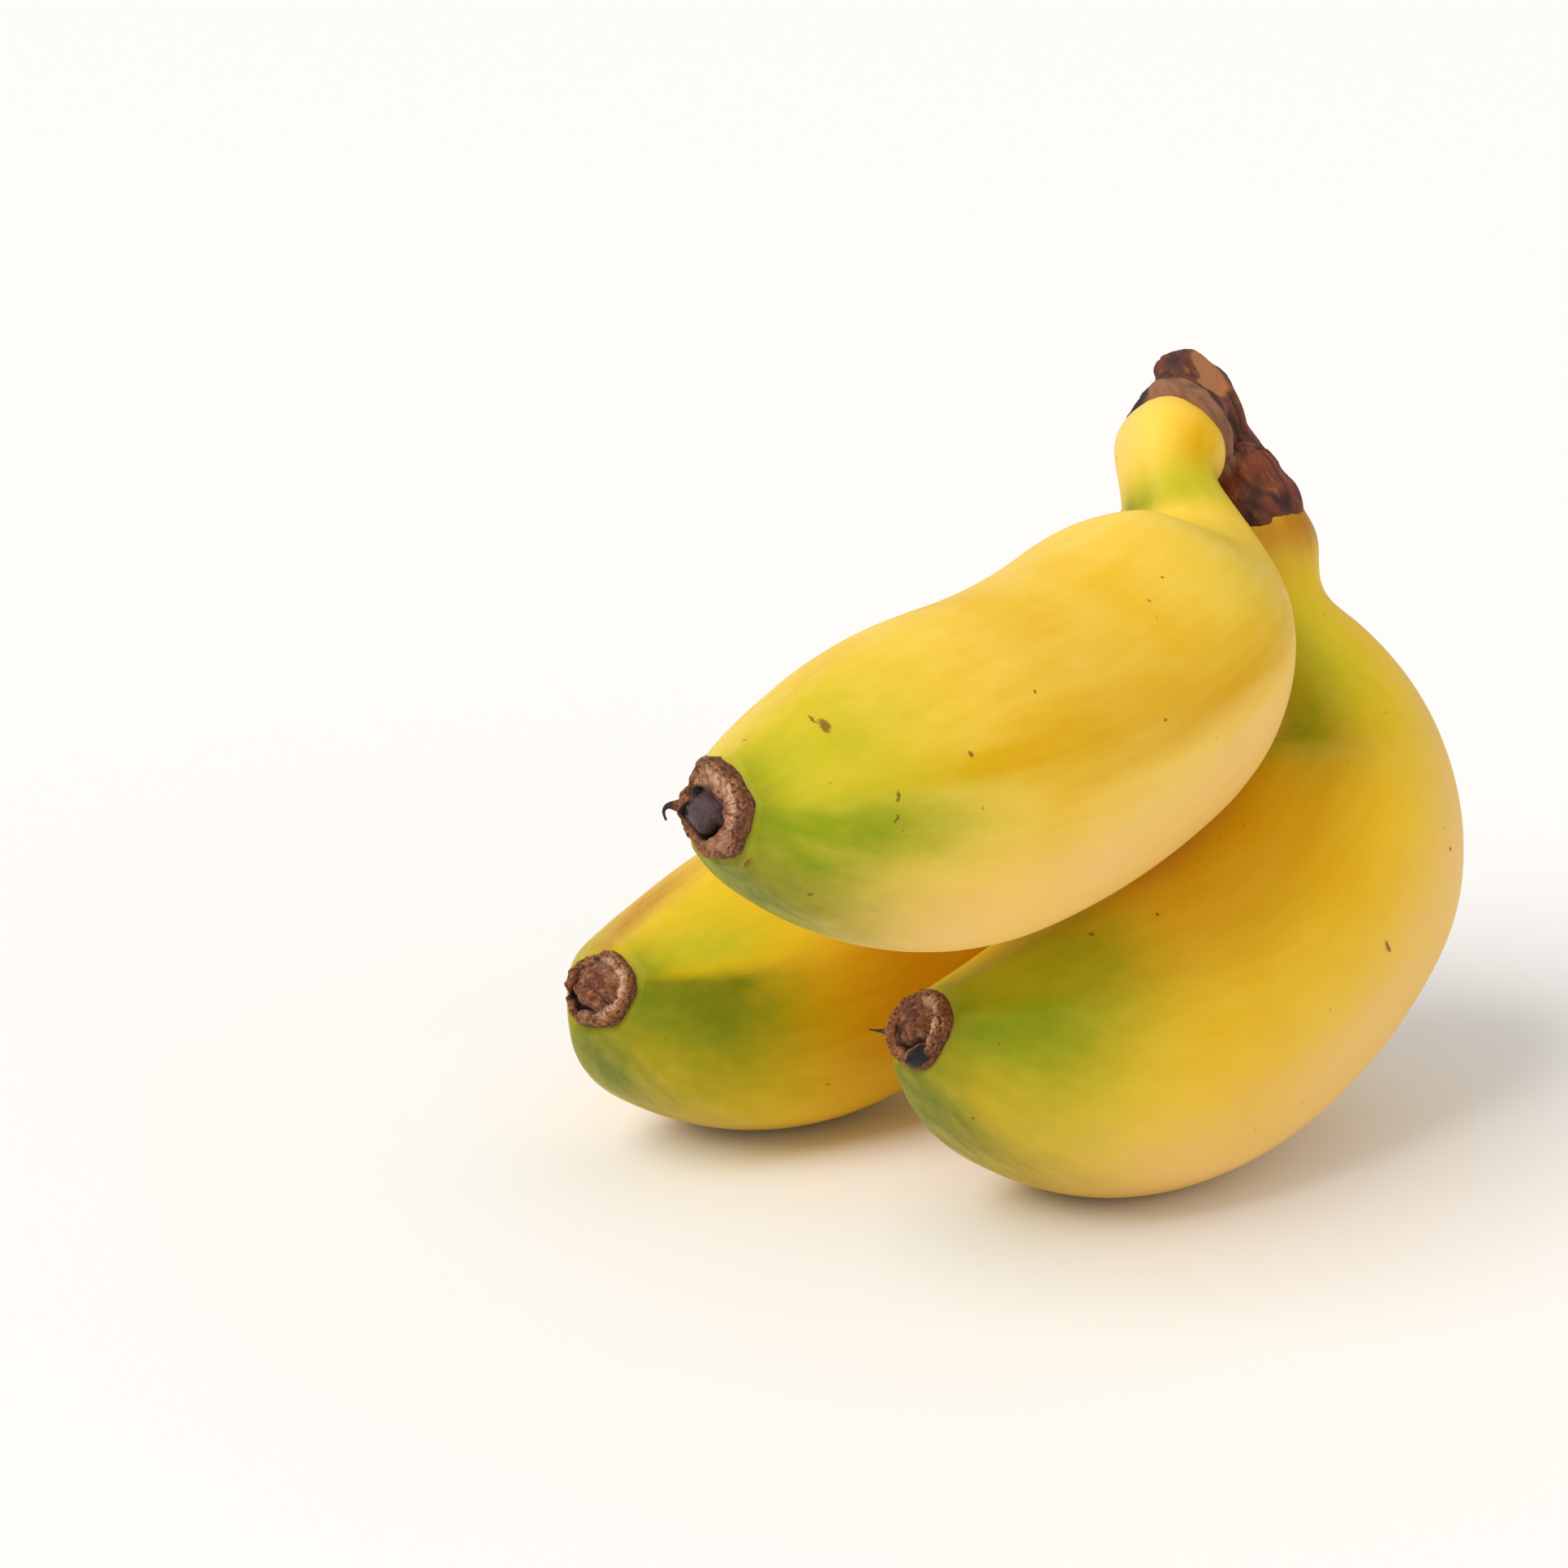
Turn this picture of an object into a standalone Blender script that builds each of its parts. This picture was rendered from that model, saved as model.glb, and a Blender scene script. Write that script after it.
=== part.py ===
"""A small bunch of three dessert bananas on the dried crown that they grew from, as it lies on a table.

Metres, +Z up, with the origin on the table under the middle of the bunch. The crown is at the back right,
and the three fingers curve down from it to the front left. Two fingers lie on the table, and the third lies
over them. Each finger ends in the corky scar that its flower left.
"""

import math

import bmesh
import bpy
from mathutils import Matrix, Vector

# Pieces that meet keep this gap.
GAP = 0.0003

# Each finger is a bent spindle that sets off from root, at the crown, by heading and pitch.
# It bends at its shoulder and then evenly through its body, in a plane turned by roll about that direction.
# Its neck_bend is how far the stalk starts out bent the same way, before the neck straightens it.
# The crown's edge clasps it at collar, measured along it from root. Its stalk has the radius stalk in the crown,
# swells by bulb_rise at bulb, and narrows again to neck. Its blossom end has the radius scar.
# lean is how far the crown's collar sits off the stalk's axis, as x, y and z.
# ridges are the angles of its five edges round the axis, counted from the inner side of the bend.
# spur is the angle of the dried thorn on the rim of the blossom end, where one is left.
FINGERS = {
    "upper": {
        "root": (0.0182, 0.0349, 0.0776),
        "heading": 304.4,
        "pitch": -57.2,
        "roll": 165.4,
        "length": 0.1111,
        "neck_bend": 47.8,
        "shoulder_bend": 56.9,
        "body_bend": 38.1,
        "girth": 0.0173,
        "collar": 0.0010,
        "stalk": 0.0036,
        "bulb": 0.0064,
        "bulb_rise": 0.0018,
        "neck": 0.0043,
        "scar": 0.0047,
        "lean": (0.0008, 0.0004, 0.0),
        "ridges": (36, 108, 180, 254, 325),
        "spur": 62,
    },
    "right": {
        "root": (0.0269, 0.0323, 0.0645),
        "heading": 18.7,
        "pitch": -52.9,
        "roll": 241.6,
        "length": 0.1068,
        "neck_bend": 26.9,
        "shoulder_bend": 52.7,
        "body_bend": 102.9,
        "girth": 0.0177,
        "collar": -0.0028,
        "stalk": 0.0036,
        "bulb": 0.0018,
        "bulb_rise": 0.0012,
        "neck": 0.0047,
        "scar": 0.0041,
        "lean": (-0.0014, 0.0006, 0.0008),
        "ridges": (53, 135, 215, 291, 337),
        "spur": 90,
    },
    "left": {
        "root": (0.0181, 0.0410, 0.0667),
        "heading": 158.8,
        "pitch": -69.7,
        "roll": 22.5,
        "length": 0.1066,
        "neck_bend": 37.3,
        "shoulder_bend": -4.0,
        "body_bend": 117.6,
        "girth": 0.0176,
        "collar": 0.0,
        "stalk": 0.0034,
        "bulb": -0.0010,
        "bulb_rise": 0.0010,
        "neck": 0.0038,
        "scar": 0.0041,
        "lean": (0.0, 0.0, 0.0),
        "ridges": (12, 90, 168, 245, 322),
        "spur": None,
    },
}

# The two fingers that lie on the table, which presses a small flat into each.
LYING = ("right", "left")
ON_TABLE = 0.000005

# The profile that the fingers share, as distances from the root or back from the scar.
NECK_LENGTH = 0.0030
SHOULDER_END = 0.0451
TAPER_LENGTH = 0.0395
TAPER_POWER = 2.40
BULB_SPREAD = 0.0038
STALK_RISE = 0.0040

# Where a finger's neck straightens and its shoulder bends, and where the even bend of its body begins.
NECK_BEND_FROM = 0.004
NECK_BEND_SPAN = 0.012
SHOULDER_BEND_FROM = 0.006
SHOULDER_BEND_SPAN = 0.034
BODY_BEND_FROM = 0.015

# A finger's section is a circle drawn towards a five-sided figure, most of all near the scar.
RIDGE_SHARE_NECK = 0.12
RIDGE_SHARE_BODY = 0.26
RIDGE_SHARE_TIP = 0.55
RIDGE_TIP_REACH = 0.030

# How finely a finger is divided.
SECTION_SIDES = 32
STATIONS = 32
AXIS_STEP = 0.0005

# The crown is a dried strip that holds the three stalks. It runs from its cut top down to the right finger.
# Each point has the strip's radius there.
CROWN_STRIP = (
    ((0.0185, 0.0380, 0.0812), 0.0034),
    ((0.0199, 0.0387, 0.0780), 0.0042),
    ((0.0221, 0.0388, 0.0738), 0.0040),
    ((0.0245, 0.0374, 0.0699), 0.0040),
    ((0.0265, 0.0356, 0.0674), 0.0042),
)
LUMP_SPACING = 0.0015
COLLAR_WALL = 0.0012
COLLAR_ROUND = 0.0030
COLLAR_BACK_SHARE = 0.70
STALK_DEPTH = 0.0032
STALK_BACKING = 0.0010
SOCKET_LENGTH = 0.0260
SOCKET_STATIONS = 16
CROWN_VOXEL = 0.0011
CROWN_EASING = 0.5
CROWN_SMOOTHING = 3

# The knife's cut through the top of the crown, as a point on the cut and the way it faces.
CUT_AT = (0.0203, 0.0365, 0.0818)
CUT_FACES = (0.70, -0.36, 0.62)
CUTTER_SIZE = 0.016

# A blossom end is a shallow corky cup with a dome in it, turned about the finger's axis.
# It takes the last stretch of the finger. Radii are shares of the scar's, and heights are from the scar's plane.
CAP_DEPTH = 0.0010
CAP_STEPS = 28
CAP_MERGE = 0.00001
CAP_PROFILE = (
    (0.00, 0.00055),
    (0.30, 0.00045),
    (0.52, 0.00010),
    (0.66, -0.00035),
    (0.76, -0.00020),
    (0.86, 0.00020),
    (0.95, 0.00018),
    (1.01, -0.00010),
)
CAP_BASE_SHARE = 0.97
SPUR_LENGTH = 0.0036
SPUR_RADIUS = 0.0007
SPUR_POINT = 0.00015
SPUR_LEAN = 55.0
SPUR_SIDES = 8
SPUR_SEAT_SHARE = 0.82

# Faces that meet at more than this angle are shaded with an edge between them.
SHARP_FROM = 40.0

PEEL = ((0.80, 0.58, 0.08, 1.0), 0.42)
DRIED_CROWN = ((0.13, 0.05, 0.025, 1.0), 0.85)
CORK = ((0.20, 0.10, 0.05, 1.0), 0.90)


def smooth_step(x):
    """A rise from 0 to 1 that starts and ends gently."""
    x = min(max(x, 0.0), 1.0)
    return x * x * x * (10 - 15 * x + 6 * x * x)


def material(name, colour, roughness):
    """A Principled material of one colour."""
    made = bpy.data.materials.new(name)
    made.use_nodes = True
    shader = made.node_tree.nodes["Principled BSDF"]
    shader.inputs["Base Color"].default_value = colour
    shader.inputs["Roughness"].default_value = roughness
    shader.inputs["Metallic"].default_value = 0.0
    return made


def directions(finger):
    """The way a finger sets off from the crown, and the way it bends towards."""
    heading, pitch, roll = (math.radians(finger[k]) for k in ("heading", "pitch", "roll"))
    ahead = Vector(
        (math.cos(heading) * math.cos(pitch), math.sin(heading) * math.cos(pitch), math.sin(pitch))
    )
    level = Vector((-math.sin(heading), math.cos(heading), 0.0))
    bends_to = level * math.cos(roll) + ahead.cross(level) * math.sin(roll)
    return ahead, bends_to


def bend_at(finger, s):
    """How far the axis has turned at distance s from the root, in radians."""
    neck = 1 - smooth_step((s - NECK_BEND_FROM) / NECK_BEND_SPAN)
    shoulder = smooth_step((s - SHOULDER_BEND_FROM) / SHOULDER_BEND_SPAN)
    body = min(max((s - BODY_BEND_FROM) / (finger["length"] - BODY_BEND_FROM), 0.0), 1.0)
    degrees = finger["neck_bend"] * neck + finger["shoulder_bend"] * shoulder + finger["body_bend"] * body
    return math.radians(degrees)


def frame_at(finger, s):
    """The axis at distance s as a matrix: X to the inner side of the bend, Z along the finger."""
    ahead, bends_to = directions(finger)
    point = Vector(finger["root"])
    steps = max(1, round(abs(s) / AXIS_STEP))
    step = s / steps
    for i in range(steps):
        turned = bend_at(finger, (i + 0.5) * step)
        point += (ahead * math.cos(turned) + bends_to * math.sin(turned)) * step
    turned = bend_at(finger, s)
    along = ahead * math.cos(turned) + bends_to * math.sin(turned)
    sideways = ahead.cross(bends_to)
    inner = sideways.cross(along)
    return Matrix.Translation(point) @ Matrix((inner, sideways, along)).transposed().to_4x4()


def radius_at(finger, s):
    """The finger's mean radius at distance s: stalk, bulb, neck, shoulder, belly, and a taper to the scar."""
    girth, neck, scar = finger["girth"], finger["neck"], finger["scar"]
    swell = smooth_step((s - NECK_LENGTH) / (SHOULDER_END - NECK_LENGTH))
    left = min(max((finger["length"] - s) / TAPER_LENGTH, 0.0), 1.0)
    tapered = 1 - (1 - left) ** TAPER_POWER
    bulb = finger["bulb_rise"] * math.exp(-(((s - finger["bulb"]) / BULB_SPREAD) ** 2))
    body = scar + (neck + (girth - neck) * swell - scar) * tapered + bulb
    buried = finger["collar"] - STALK_DEPTH
    return finger["stalk"] + (body - finger["stalk"]) * smooth_step((s - buried) / STALK_RISE)


def ridge_share(finger, s):
    """How far the section is drawn towards the five-sided figure at distance s."""
    grown = smooth_step((s - NECK_LENGTH) / (SHOULDER_END - NECK_LENGTH))
    body = RIDGE_SHARE_NECK + (RIDGE_SHARE_BODY - RIDGE_SHARE_NECK) * grown
    tip = smooth_step(1 - (finger["length"] - s) / RIDGE_TIP_REACH)
    return body + (RIDGE_SHARE_TIP - body) * tip


def five_sided(finger, angle):
    """The five-sided figure's radius at an angle, over its mean radius."""
    corners = [math.radians(corner) for corner in finger["ridges"]]
    turn = 2 * math.pi
    around = 0.0
    here = 1.0
    for corner, following in zip(corners, corners[1:] + [corners[0] + turn]):
        half = (following - corner) / 2
        around += 2 * math.cos(half) * math.log(math.tan(math.pi / 4 + half / 2))
        if (angle - corner) % turn < 2 * half:
            here = math.cos(half) / math.cos((angle - corner) % turn - half)
    return here * turn / around


def finger_mesh(name, finger, first, last, stations, grown=0.0):
    """A cylinder cut into rings, with every point carried to its place on the finger's skin."""
    body = bmesh.new()
    bmesh.ops.create_cone(
        body, cap_ends=True, segments=SECTION_SIDES, radius1=1.0, radius2=1.0, depth=1.0
    )
    upright = [e for e in body.edges if abs(e.verts[0].co.z - e.verts[1].co.z) > 0.5]
    bmesh.ops.subdivide_edges(body, edges=upright, cuts=stations - 1, use_grid_fill=True)
    rings = {}
    for corner in body.verts:
        rings.setdefault(round((corner.co.z + 0.5) * stations), []).append(corner)
    for number, ring in rings.items():
        share = number / stations
        eased = 0.5 * share + 0.25 * (1 - math.cos(math.pi * share))
        s = first + (last - first) * eased
        frame = frame_at(finger, s)
        drawn = ridge_share(finger, s)
        for corner in ring:
            angle = math.atan2(corner.co.y, corner.co.x)
            radius = radius_at(finger, s) * (1 + drawn * (five_sided(finger, angle) - 1)) + grown
            corner.co = frame @ Vector((math.cos(angle) * radius, math.sin(angle) * radius, 0.0))
    return finished_mesh(name, body)


def finished_mesh(name, body):
    """A bmesh with its faces turned outwards, as a mesh."""
    bmesh.ops.recalc_face_normals(body, faces=body.faces)
    if body.calc_volume(signed=True) < 0:
        bmesh.ops.reverse_faces(body, faces=body.faces)
    mesh = bpy.data.meshes.new(name)
    body.to_mesh(mesh)
    body.free()
    return mesh


def press_flat(mesh):
    """Cuts the underside off at the table, which leaves the small flat that the finger lies on."""
    body = bmesh.new()
    body.from_mesh(mesh)
    cut = bmesh.ops.bisect_plane(
        body,
        geom=body.verts[:] + body.edges[:] + body.faces[:],
        plane_co=(0, 0, 0),
        plane_no=(0, 0, -1),
        clear_outer=True,
    )
    rim = [e for e in cut["geom_cut"] if isinstance(e, bmesh.types.BMEdge)]
    bmesh.ops.edgeloop_fill(body, edges=rim)
    for corner in body.verts:
        if abs(corner.co.z) < ON_TABLE:
            corner.co.z = 0.0
    bmesh.ops.recalc_face_normals(body, faces=body.faces)
    body.to_mesh(mesh)
    body.free()


def place(name, mesh, collection, made_of=None):
    """A mesh as a named object in a collection, with its material."""
    made = bpy.data.objects.new(name, mesh)
    collection.objects.link(made)
    if made_of:
        mesh.materials.append(made_of)
        mesh.shade_smooth()
        mesh.set_sharp_from_angle(angle=math.radians(SHARP_FROM))
    else:
        made.hide_render = True
        made.display_type = "WIRE"
    return made


def boolean(target, cutter, operation):
    """Joins another solid to an object, or cuts it away."""
    joined = target.modifiers.new(cutter.name, "BOOLEAN")
    joined.operation = operation
    joined.object = cutter
    joined.solver = "EXACT"


def add_lump(body, point, radius):
    """One round lump of the crown."""
    bmesh.ops.create_icosphere(
        body, subdivisions=2, radius=radius, matrix=Matrix.Translation(point)
    )


def add_lump_run(body, start, end):
    """Lumps at an even spacing between two points, each point with its radius."""
    (from_point, from_radius), (to_point, to_radius) = start, end
    from_point, to_point = Vector(from_point), Vector(to_point)
    count = max(1, math.ceil((to_point - from_point).length / LUMP_SPACING))
    for i in range(count + 1):
        share = i / count
        add_lump(body, from_point.lerp(to_point, share), from_radius + (to_radius - from_radius) * share)


def crown_lumps():
    """The strip and a collar round each stalk, as lumps that the remesh makes one body."""
    body = bmesh.new()
    for start, end in zip(CROWN_STRIP, CROWN_STRIP[1:]):
        add_lump_run(body, start, end)
    for finger in FINGERS.values():
        outer = radius_at(finger, finger["collar"]) + COLLAR_WALL
        front = frame_at(finger, finger["collar"] - COLLAR_ROUND).translation
        back = frame_at(finger, finger["collar"] - STALK_DEPTH - STALK_BACKING).translation
        strip_point, strip_radius = min(CROWN_STRIP, key=lambda entry: (Vector(entry[0]) - back).length)
        lean = Vector(finger["lean"])
        add_lump_run(body, (front + lean, outer), (back + lean, outer * COLLAR_BACK_SHARE))
        add_lump_run(body, (back + lean, outer * COLLAR_BACK_SHARE), (strip_point, strip_radius))
    return finished_mesh("crown", body)


def cut_block():
    """A block whose lower face is the knife's cut."""
    body = bmesh.new()
    bmesh.ops.create_cube(body, size=CUTTER_SIZE)
    facing = Vector(CUT_FACES).normalized()
    turned = Vector((0, 0, 1)).rotation_difference(facing).to_matrix().to_4x4()
    centre = Vector(CUT_AT) + facing * CUTTER_SIZE / 2
    bmesh.ops.transform(body, matrix=Matrix.Translation(centre) @ turned, verts=body.verts)
    return finished_mesh("knife_cut", body)


def make_crown(collection, cutters, made_of):
    """The crown: its lumps made one body, cut off at the top, with a socket for each stalk."""
    crown = place("crown", crown_lumps(), collection, made_of)
    joined = crown.modifiers.new("one body", "REMESH")
    joined.mode = "VOXEL"
    joined.voxel_size = CROWN_VOXEL
    eased = crown.modifiers.new("eased", "SMOOTH")
    eased.factor = CROWN_EASING
    eased.iterations = CROWN_SMOOTHING
    boolean(crown, place("knife_cut", cut_block(), cutters), "DIFFERENCE")
    for name, finger in FINGERS.items():
        first = finger["collar"] - STALK_DEPTH - GAP
        last = first + SOCKET_LENGTH
        socket = finger_mesh(f"socket_{name}", finger, first, last, SOCKET_STATIONS, GAP)
        boolean(crown, place(f"socket_{name}", socket, cutters), "DIFFERENCE")


def make_blossom_end(name, finger, collection, cutters, made_of):
    """The corky cup that the flower left, turned about the finger's axis, with its thorn if one is left."""
    profile = bmesh.new()
    base = GAP - CAP_DEPTH
    base_radius = radius_at(finger, finger["length"] + base) * CAP_BASE_SHARE
    points = [(share * finger["scar"], height) for share, height in CAP_PROFILE]
    points += [(base_radius, base), (0.0, base)]
    line = [profile.verts.new((x, 0.0, z)) for x, z in points]
    for start, end in zip(line, line[1:]):
        profile.edges.new((start, end))
    mesh = bpy.data.meshes.new(f"blossom_end_{name}")
    profile.to_mesh(mesh)
    profile.free()
    cap = place(f"blossom_end_{name}", mesh, collection, made_of)
    cap.matrix_world = frame_at(finger, finger["length"])
    turned = cap.modifiers.new("turned", "SCREW")
    turned.steps = CAP_STEPS
    turned.render_steps = CAP_STEPS
    turned.use_merge_vertices = True
    turned.merge_threshold = CAP_MERGE
    if finger["spur"] is None:
        return
    body = bmesh.new()
    bmesh.ops.create_cone(
        body,
        cap_ends=True,
        segments=SPUR_SIDES,
        radius1=SPUR_RADIUS,
        radius2=SPUR_POINT,
        depth=SPUR_LENGTH,
    )
    upright = Matrix.Translation((0, 0, SPUR_LENGTH / 2))
    leaning = Matrix.Rotation(math.radians(SPUR_LEAN), 4, "Y")
    out_to_rim = Matrix.Translation((finger["scar"] * SPUR_SEAT_SHARE, 0, -SPUR_RADIUS / 2))
    around = Matrix.Rotation(math.radians(finger["spur"]), 4, "Z")
    bmesh.ops.transform(body, matrix=around @ out_to_rim @ leaning @ upright, verts=body.verts)
    spur = place(f"spur_{name}", finished_mesh(f"spur_{name}", body), cutters)
    spur.matrix_world = cap.matrix_world
    boolean(cap, spur, "UNION")


def build():
    for old in list(bpy.data.objects):
        bpy.data.objects.remove(old)
    bunch = bpy.data.collections.new("banana_bunch")
    cutters = bpy.data.collections.new("cutters")
    for collection in (bunch, cutters):
        bpy.context.scene.collection.children.link(collection)
    peel = material("banana_peel", *PEEL)
    cork = material("corky_scar", *CORK)
    for name, finger in FINGERS.items():
        first = finger["collar"] - STALK_DEPTH
        last = finger["length"] - CAP_DEPTH
        mesh = finger_mesh(f"banana_{name}", finger, first, last, STATIONS)
        if name in LYING:
            press_flat(mesh)
        place(f"banana_{name}", mesh, bunch, peel)
        make_blossom_end(name, finger, bunch, cutters, cork)
    make_crown(bunch, cutters, material("dried_crown", *DRIED_CROWN))


build()
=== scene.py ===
"""The looks of a small bunch of three dessert bananas: waxy peel, corky blossom scars and a dried crown.

Metres, +Z up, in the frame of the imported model. The fingers follow the same formulas and values as its solids,
with a finer skin, softer edges and the slow lumps of a real fruit.
"""

import math

import bpy
import numpy as np
from mathutils import Matrix, Vector, noise


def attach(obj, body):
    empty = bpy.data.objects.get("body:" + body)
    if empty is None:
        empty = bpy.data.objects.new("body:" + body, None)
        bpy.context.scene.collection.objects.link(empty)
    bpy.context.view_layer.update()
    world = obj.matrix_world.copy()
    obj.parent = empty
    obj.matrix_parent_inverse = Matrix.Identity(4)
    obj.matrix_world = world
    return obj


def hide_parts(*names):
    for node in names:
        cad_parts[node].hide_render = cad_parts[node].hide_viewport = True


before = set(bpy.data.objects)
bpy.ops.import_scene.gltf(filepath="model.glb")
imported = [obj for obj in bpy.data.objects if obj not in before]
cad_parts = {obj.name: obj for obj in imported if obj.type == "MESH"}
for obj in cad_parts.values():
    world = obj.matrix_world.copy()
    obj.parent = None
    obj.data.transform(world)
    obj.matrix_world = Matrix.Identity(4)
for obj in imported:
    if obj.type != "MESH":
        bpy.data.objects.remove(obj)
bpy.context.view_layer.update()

# Each finger sets off from root, at the crown, by heading and pitch, and bends in a plane turned by roll.
# neck_bend is straightened by the neck, shoulder_bend comes at the shoulder, and body_bend is spread evenly.
# The crown's edge clasps it at collar. Its radius is stalk in the crown, swells by bulb_rise at bulb, and is then
# neck, girth and scar.
# ridges are the angles of its five edges round the axis, counted from the inner side of the bend.
FINGERS = {
    "upper": {
        "root": (0.0182, 0.0349, 0.0776), "heading": 304.4, "pitch": -57.2, "roll": 165.4,
        "length": 0.1111, "neck_bend": 47.8, "shoulder_bend": 56.9, "body_bend": 38.1,
        "girth": 0.0173, "collar": 0.0010, "stalk": 0.0036,
        "bulb": 0.0064, "bulb_rise": 0.0018, "neck": 0.0043, "scar": 0.0047,
        "ridges": (36, 108, 180, 254, 325),
    },
    "right": {
        "root": (0.0269, 0.0323, 0.0645), "heading": 18.7, "pitch": -52.9, "roll": 241.6,
        "length": 0.1068, "neck_bend": 26.9, "shoulder_bend": 52.7, "body_bend": 102.9,
        "girth": 0.0177, "collar": -0.0028, "stalk": 0.0036,
        "bulb": 0.0018, "bulb_rise": 0.0012, "neck": 0.0047, "scar": 0.0041,
        "ridges": (53, 135, 215, 291, 337),
    },
    "left": {
        "root": (0.0181, 0.0410, 0.0667), "heading": 158.8, "pitch": -69.7, "roll": 22.5,
        "length": 0.1066, "neck_bend": 37.3, "shoulder_bend": -4.0, "body_bend": 117.6,
        "girth": 0.0176, "collar": 0.0, "stalk": 0.0034,
        "bulb": -0.0010, "bulb_rise": 0.0010, "neck": 0.0038, "scar": 0.0041,
        "ridges": (12, 90, 168, 245, 322),
    },
}

# The profile that the fingers share, as distances from the root or back from the scar.
NECK_LENGTH = 0.0030
SHOULDER_END = 0.0451
TAPER_LENGTH = 0.0395
TAPER_POWER = 2.40
BULB_SPREAD = 0.0038
STALK_RISE = 0.0040
NECK_BEND_FROM = 0.004
NECK_BEND_SPAN = 0.012
SHOULDER_BEND_FROM = 0.006
SHOULDER_BEND_SPAN = 0.034
BODY_BEND_FROM = 0.015
STALK_DEPTH = 0.0032
SCAR_DEPTH = 0.0010
AXIS_FROM = -0.0100
AXIS_STEP = 0.0005

# The section is a circle drawn towards a five-sided figure, whose edges are rounded over a few degrees.
RIDGE_SHARE_NECK = 0.12
RIDGE_SHARE_BODY = 0.26
RIDGE_SHARE_TIP = 0.60
RIDGE_TIP_REACH = 0.034
RIDGE_ROUNDING = 6.0

# A finger's skin: points round it, and cuts along it, made in two goes.
ROUND_FINGER = 160
CUTS_A_GO = 15
GOES = 2

# Slow lumps in the skin, and finer furrows that run along it. Both are lower where the finger is thin.
LUMP_HEIGHT = 0.00022
LUMP_LENGTH = 0.022
LUMP_STRETCH = 0.7
FURROW_HEIGHT = 0.00003
FURROW_WIDTH = 0.0016
FURROW_LENGTH = 0.030
FULL_RELIEF_RADIUS = 0.012
LEAST_RELIEF = 0.3

# The stalk's hidden end is drawn in to a share of its radius. The upper finger's tip is pinched on one side.
STALK_POINT = 0.0016
STALK_POINT_SHARE = 0.6
PINCH = 0.24
PINCH_AT = 262
PINCH_WIDTH = 70
PINCH_REACH = 0.009

MM = 0.001


def linear(code):
    """An sRGB hex colour as linear light, with full alpha."""
    shares = [int(code[i:i + 2], 16) / 255 for i in (1, 3, 5)]
    return tuple(c / 12.92 if c <= 0.04045 else ((c + 0.055) / 1.055) ** 2.4 for c in shares) + (1.0,)


def node(tree, kind, inputs=(), **settings):
    """Adds a node with its settings, and sets or links its inputs."""
    made = tree.nodes.new(kind)
    for key, value in settings.items():
        setattr(made, key, value)
    for key, value in dict(inputs).items():
        if isinstance(value, bpy.types.NodeSocket):
            tree.links.new(value, made.inputs[key])
        else:
            made.inputs[key].default_value = value
    return made


def new_material(name, finish):
    """A material with its node tree and its Principled shader, which takes the finish's plain values."""
    made = bpy.data.materials.new(name)
    made.use_nodes = True
    shader = made.node_tree.nodes["Principled BSDF"]
    for key, value in finish.items():
        shader.inputs[key].default_value = value
    return made, made.node_tree, shader


def brown_ramp(ramp, stops):
    """Sets a ramp's colours, from its first to its last, and gives its colour."""
    (first_at, first), *between, (last_at, last) = stops
    ramp.color_ramp.elements[0].position = first_at
    ramp.color_ramp.elements[0].color = linear(first)
    ramp.color_ramp.elements[1].position = last_at
    ramp.color_ramp.elements[1].color = linear(last)
    for place, code in between:
        ramp.color_ramp.elements.new(place).color = linear(code)
    return ramp.outputs["Color"]


def smooth_step(x):
    """A rise from 0 to 1 that starts and ends gently."""
    x = np.clip(x, 0.0, 1.0)
    return x * x * x * (10 - 15 * x + 6 * x * x)


def bell(x):
    """A smooth hump of height 1 that has mostly gone at 1.5."""
    return np.exp(-x * x)


def angle_gap(a, b):
    """The difference between two angles in degrees, the short way round."""
    return (a - b + 180.0) % 360.0 - 180.0


def directions(finger):
    """The way a finger sets off from the crown, and the way it bends towards."""
    heading, pitch, roll = (math.radians(finger[k]) for k in ("heading", "pitch", "roll"))
    ahead = Vector(
        (math.cos(heading) * math.cos(pitch), math.sin(heading) * math.cos(pitch), math.sin(pitch))
    )
    level = Vector((-math.sin(heading), math.cos(heading), 0.0))
    return ahead, level * math.cos(roll) + ahead.cross(level) * math.sin(roll)


def bend_at(finger, s):
    """How far the axis has turned at distances s from the root, in radians."""
    neck = 1 - smooth_step((s - NECK_BEND_FROM) / NECK_BEND_SPAN)
    shoulder = smooth_step((s - SHOULDER_BEND_FROM) / SHOULDER_BEND_SPAN)
    body = np.clip((s - BODY_BEND_FROM) / (finger["length"] - BODY_BEND_FROM), 0.0, 1.0)
    return np.radians(
        finger["neck_bend"] * neck + finger["shoulder_bend"] * shoulder + finger["body_bend"] * body
    )


def axis_at(finger, s):
    """The axis at distances s: points, and the directions to the bend's inner side, sideways and along."""
    ahead, bends_to = (np.array(way) for way in directions(finger))
    steps = round((finger["length"] + AXIS_STEP - AXIS_FROM) / AXIS_STEP)
    fine = AXIS_FROM + AXIS_STEP * np.arange(steps + 1)
    middle = bend_at(finger, (fine[:-1] + fine[1:]) / 2)
    walk = (np.outer(np.cos(middle), ahead) + np.outer(np.sin(middle), bends_to)) * AXIS_STEP
    path = np.vstack((np.zeros(3), np.cumsum(walk, axis=0)))
    path += np.array(finger["root"]) - path[round(-AXIS_FROM / AXIS_STEP)]
    points = np.stack([np.interp(s, fine, path[:, k]) for k in range(3)], axis=-1)
    turned = bend_at(finger, s)
    along = np.outer(np.cos(turned), ahead) + np.outer(np.sin(turned), bends_to)
    sideways = np.cross(ahead, bends_to)
    return points, np.cross(sideways, along), np.broadcast_to(sideways, along.shape), along


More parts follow.
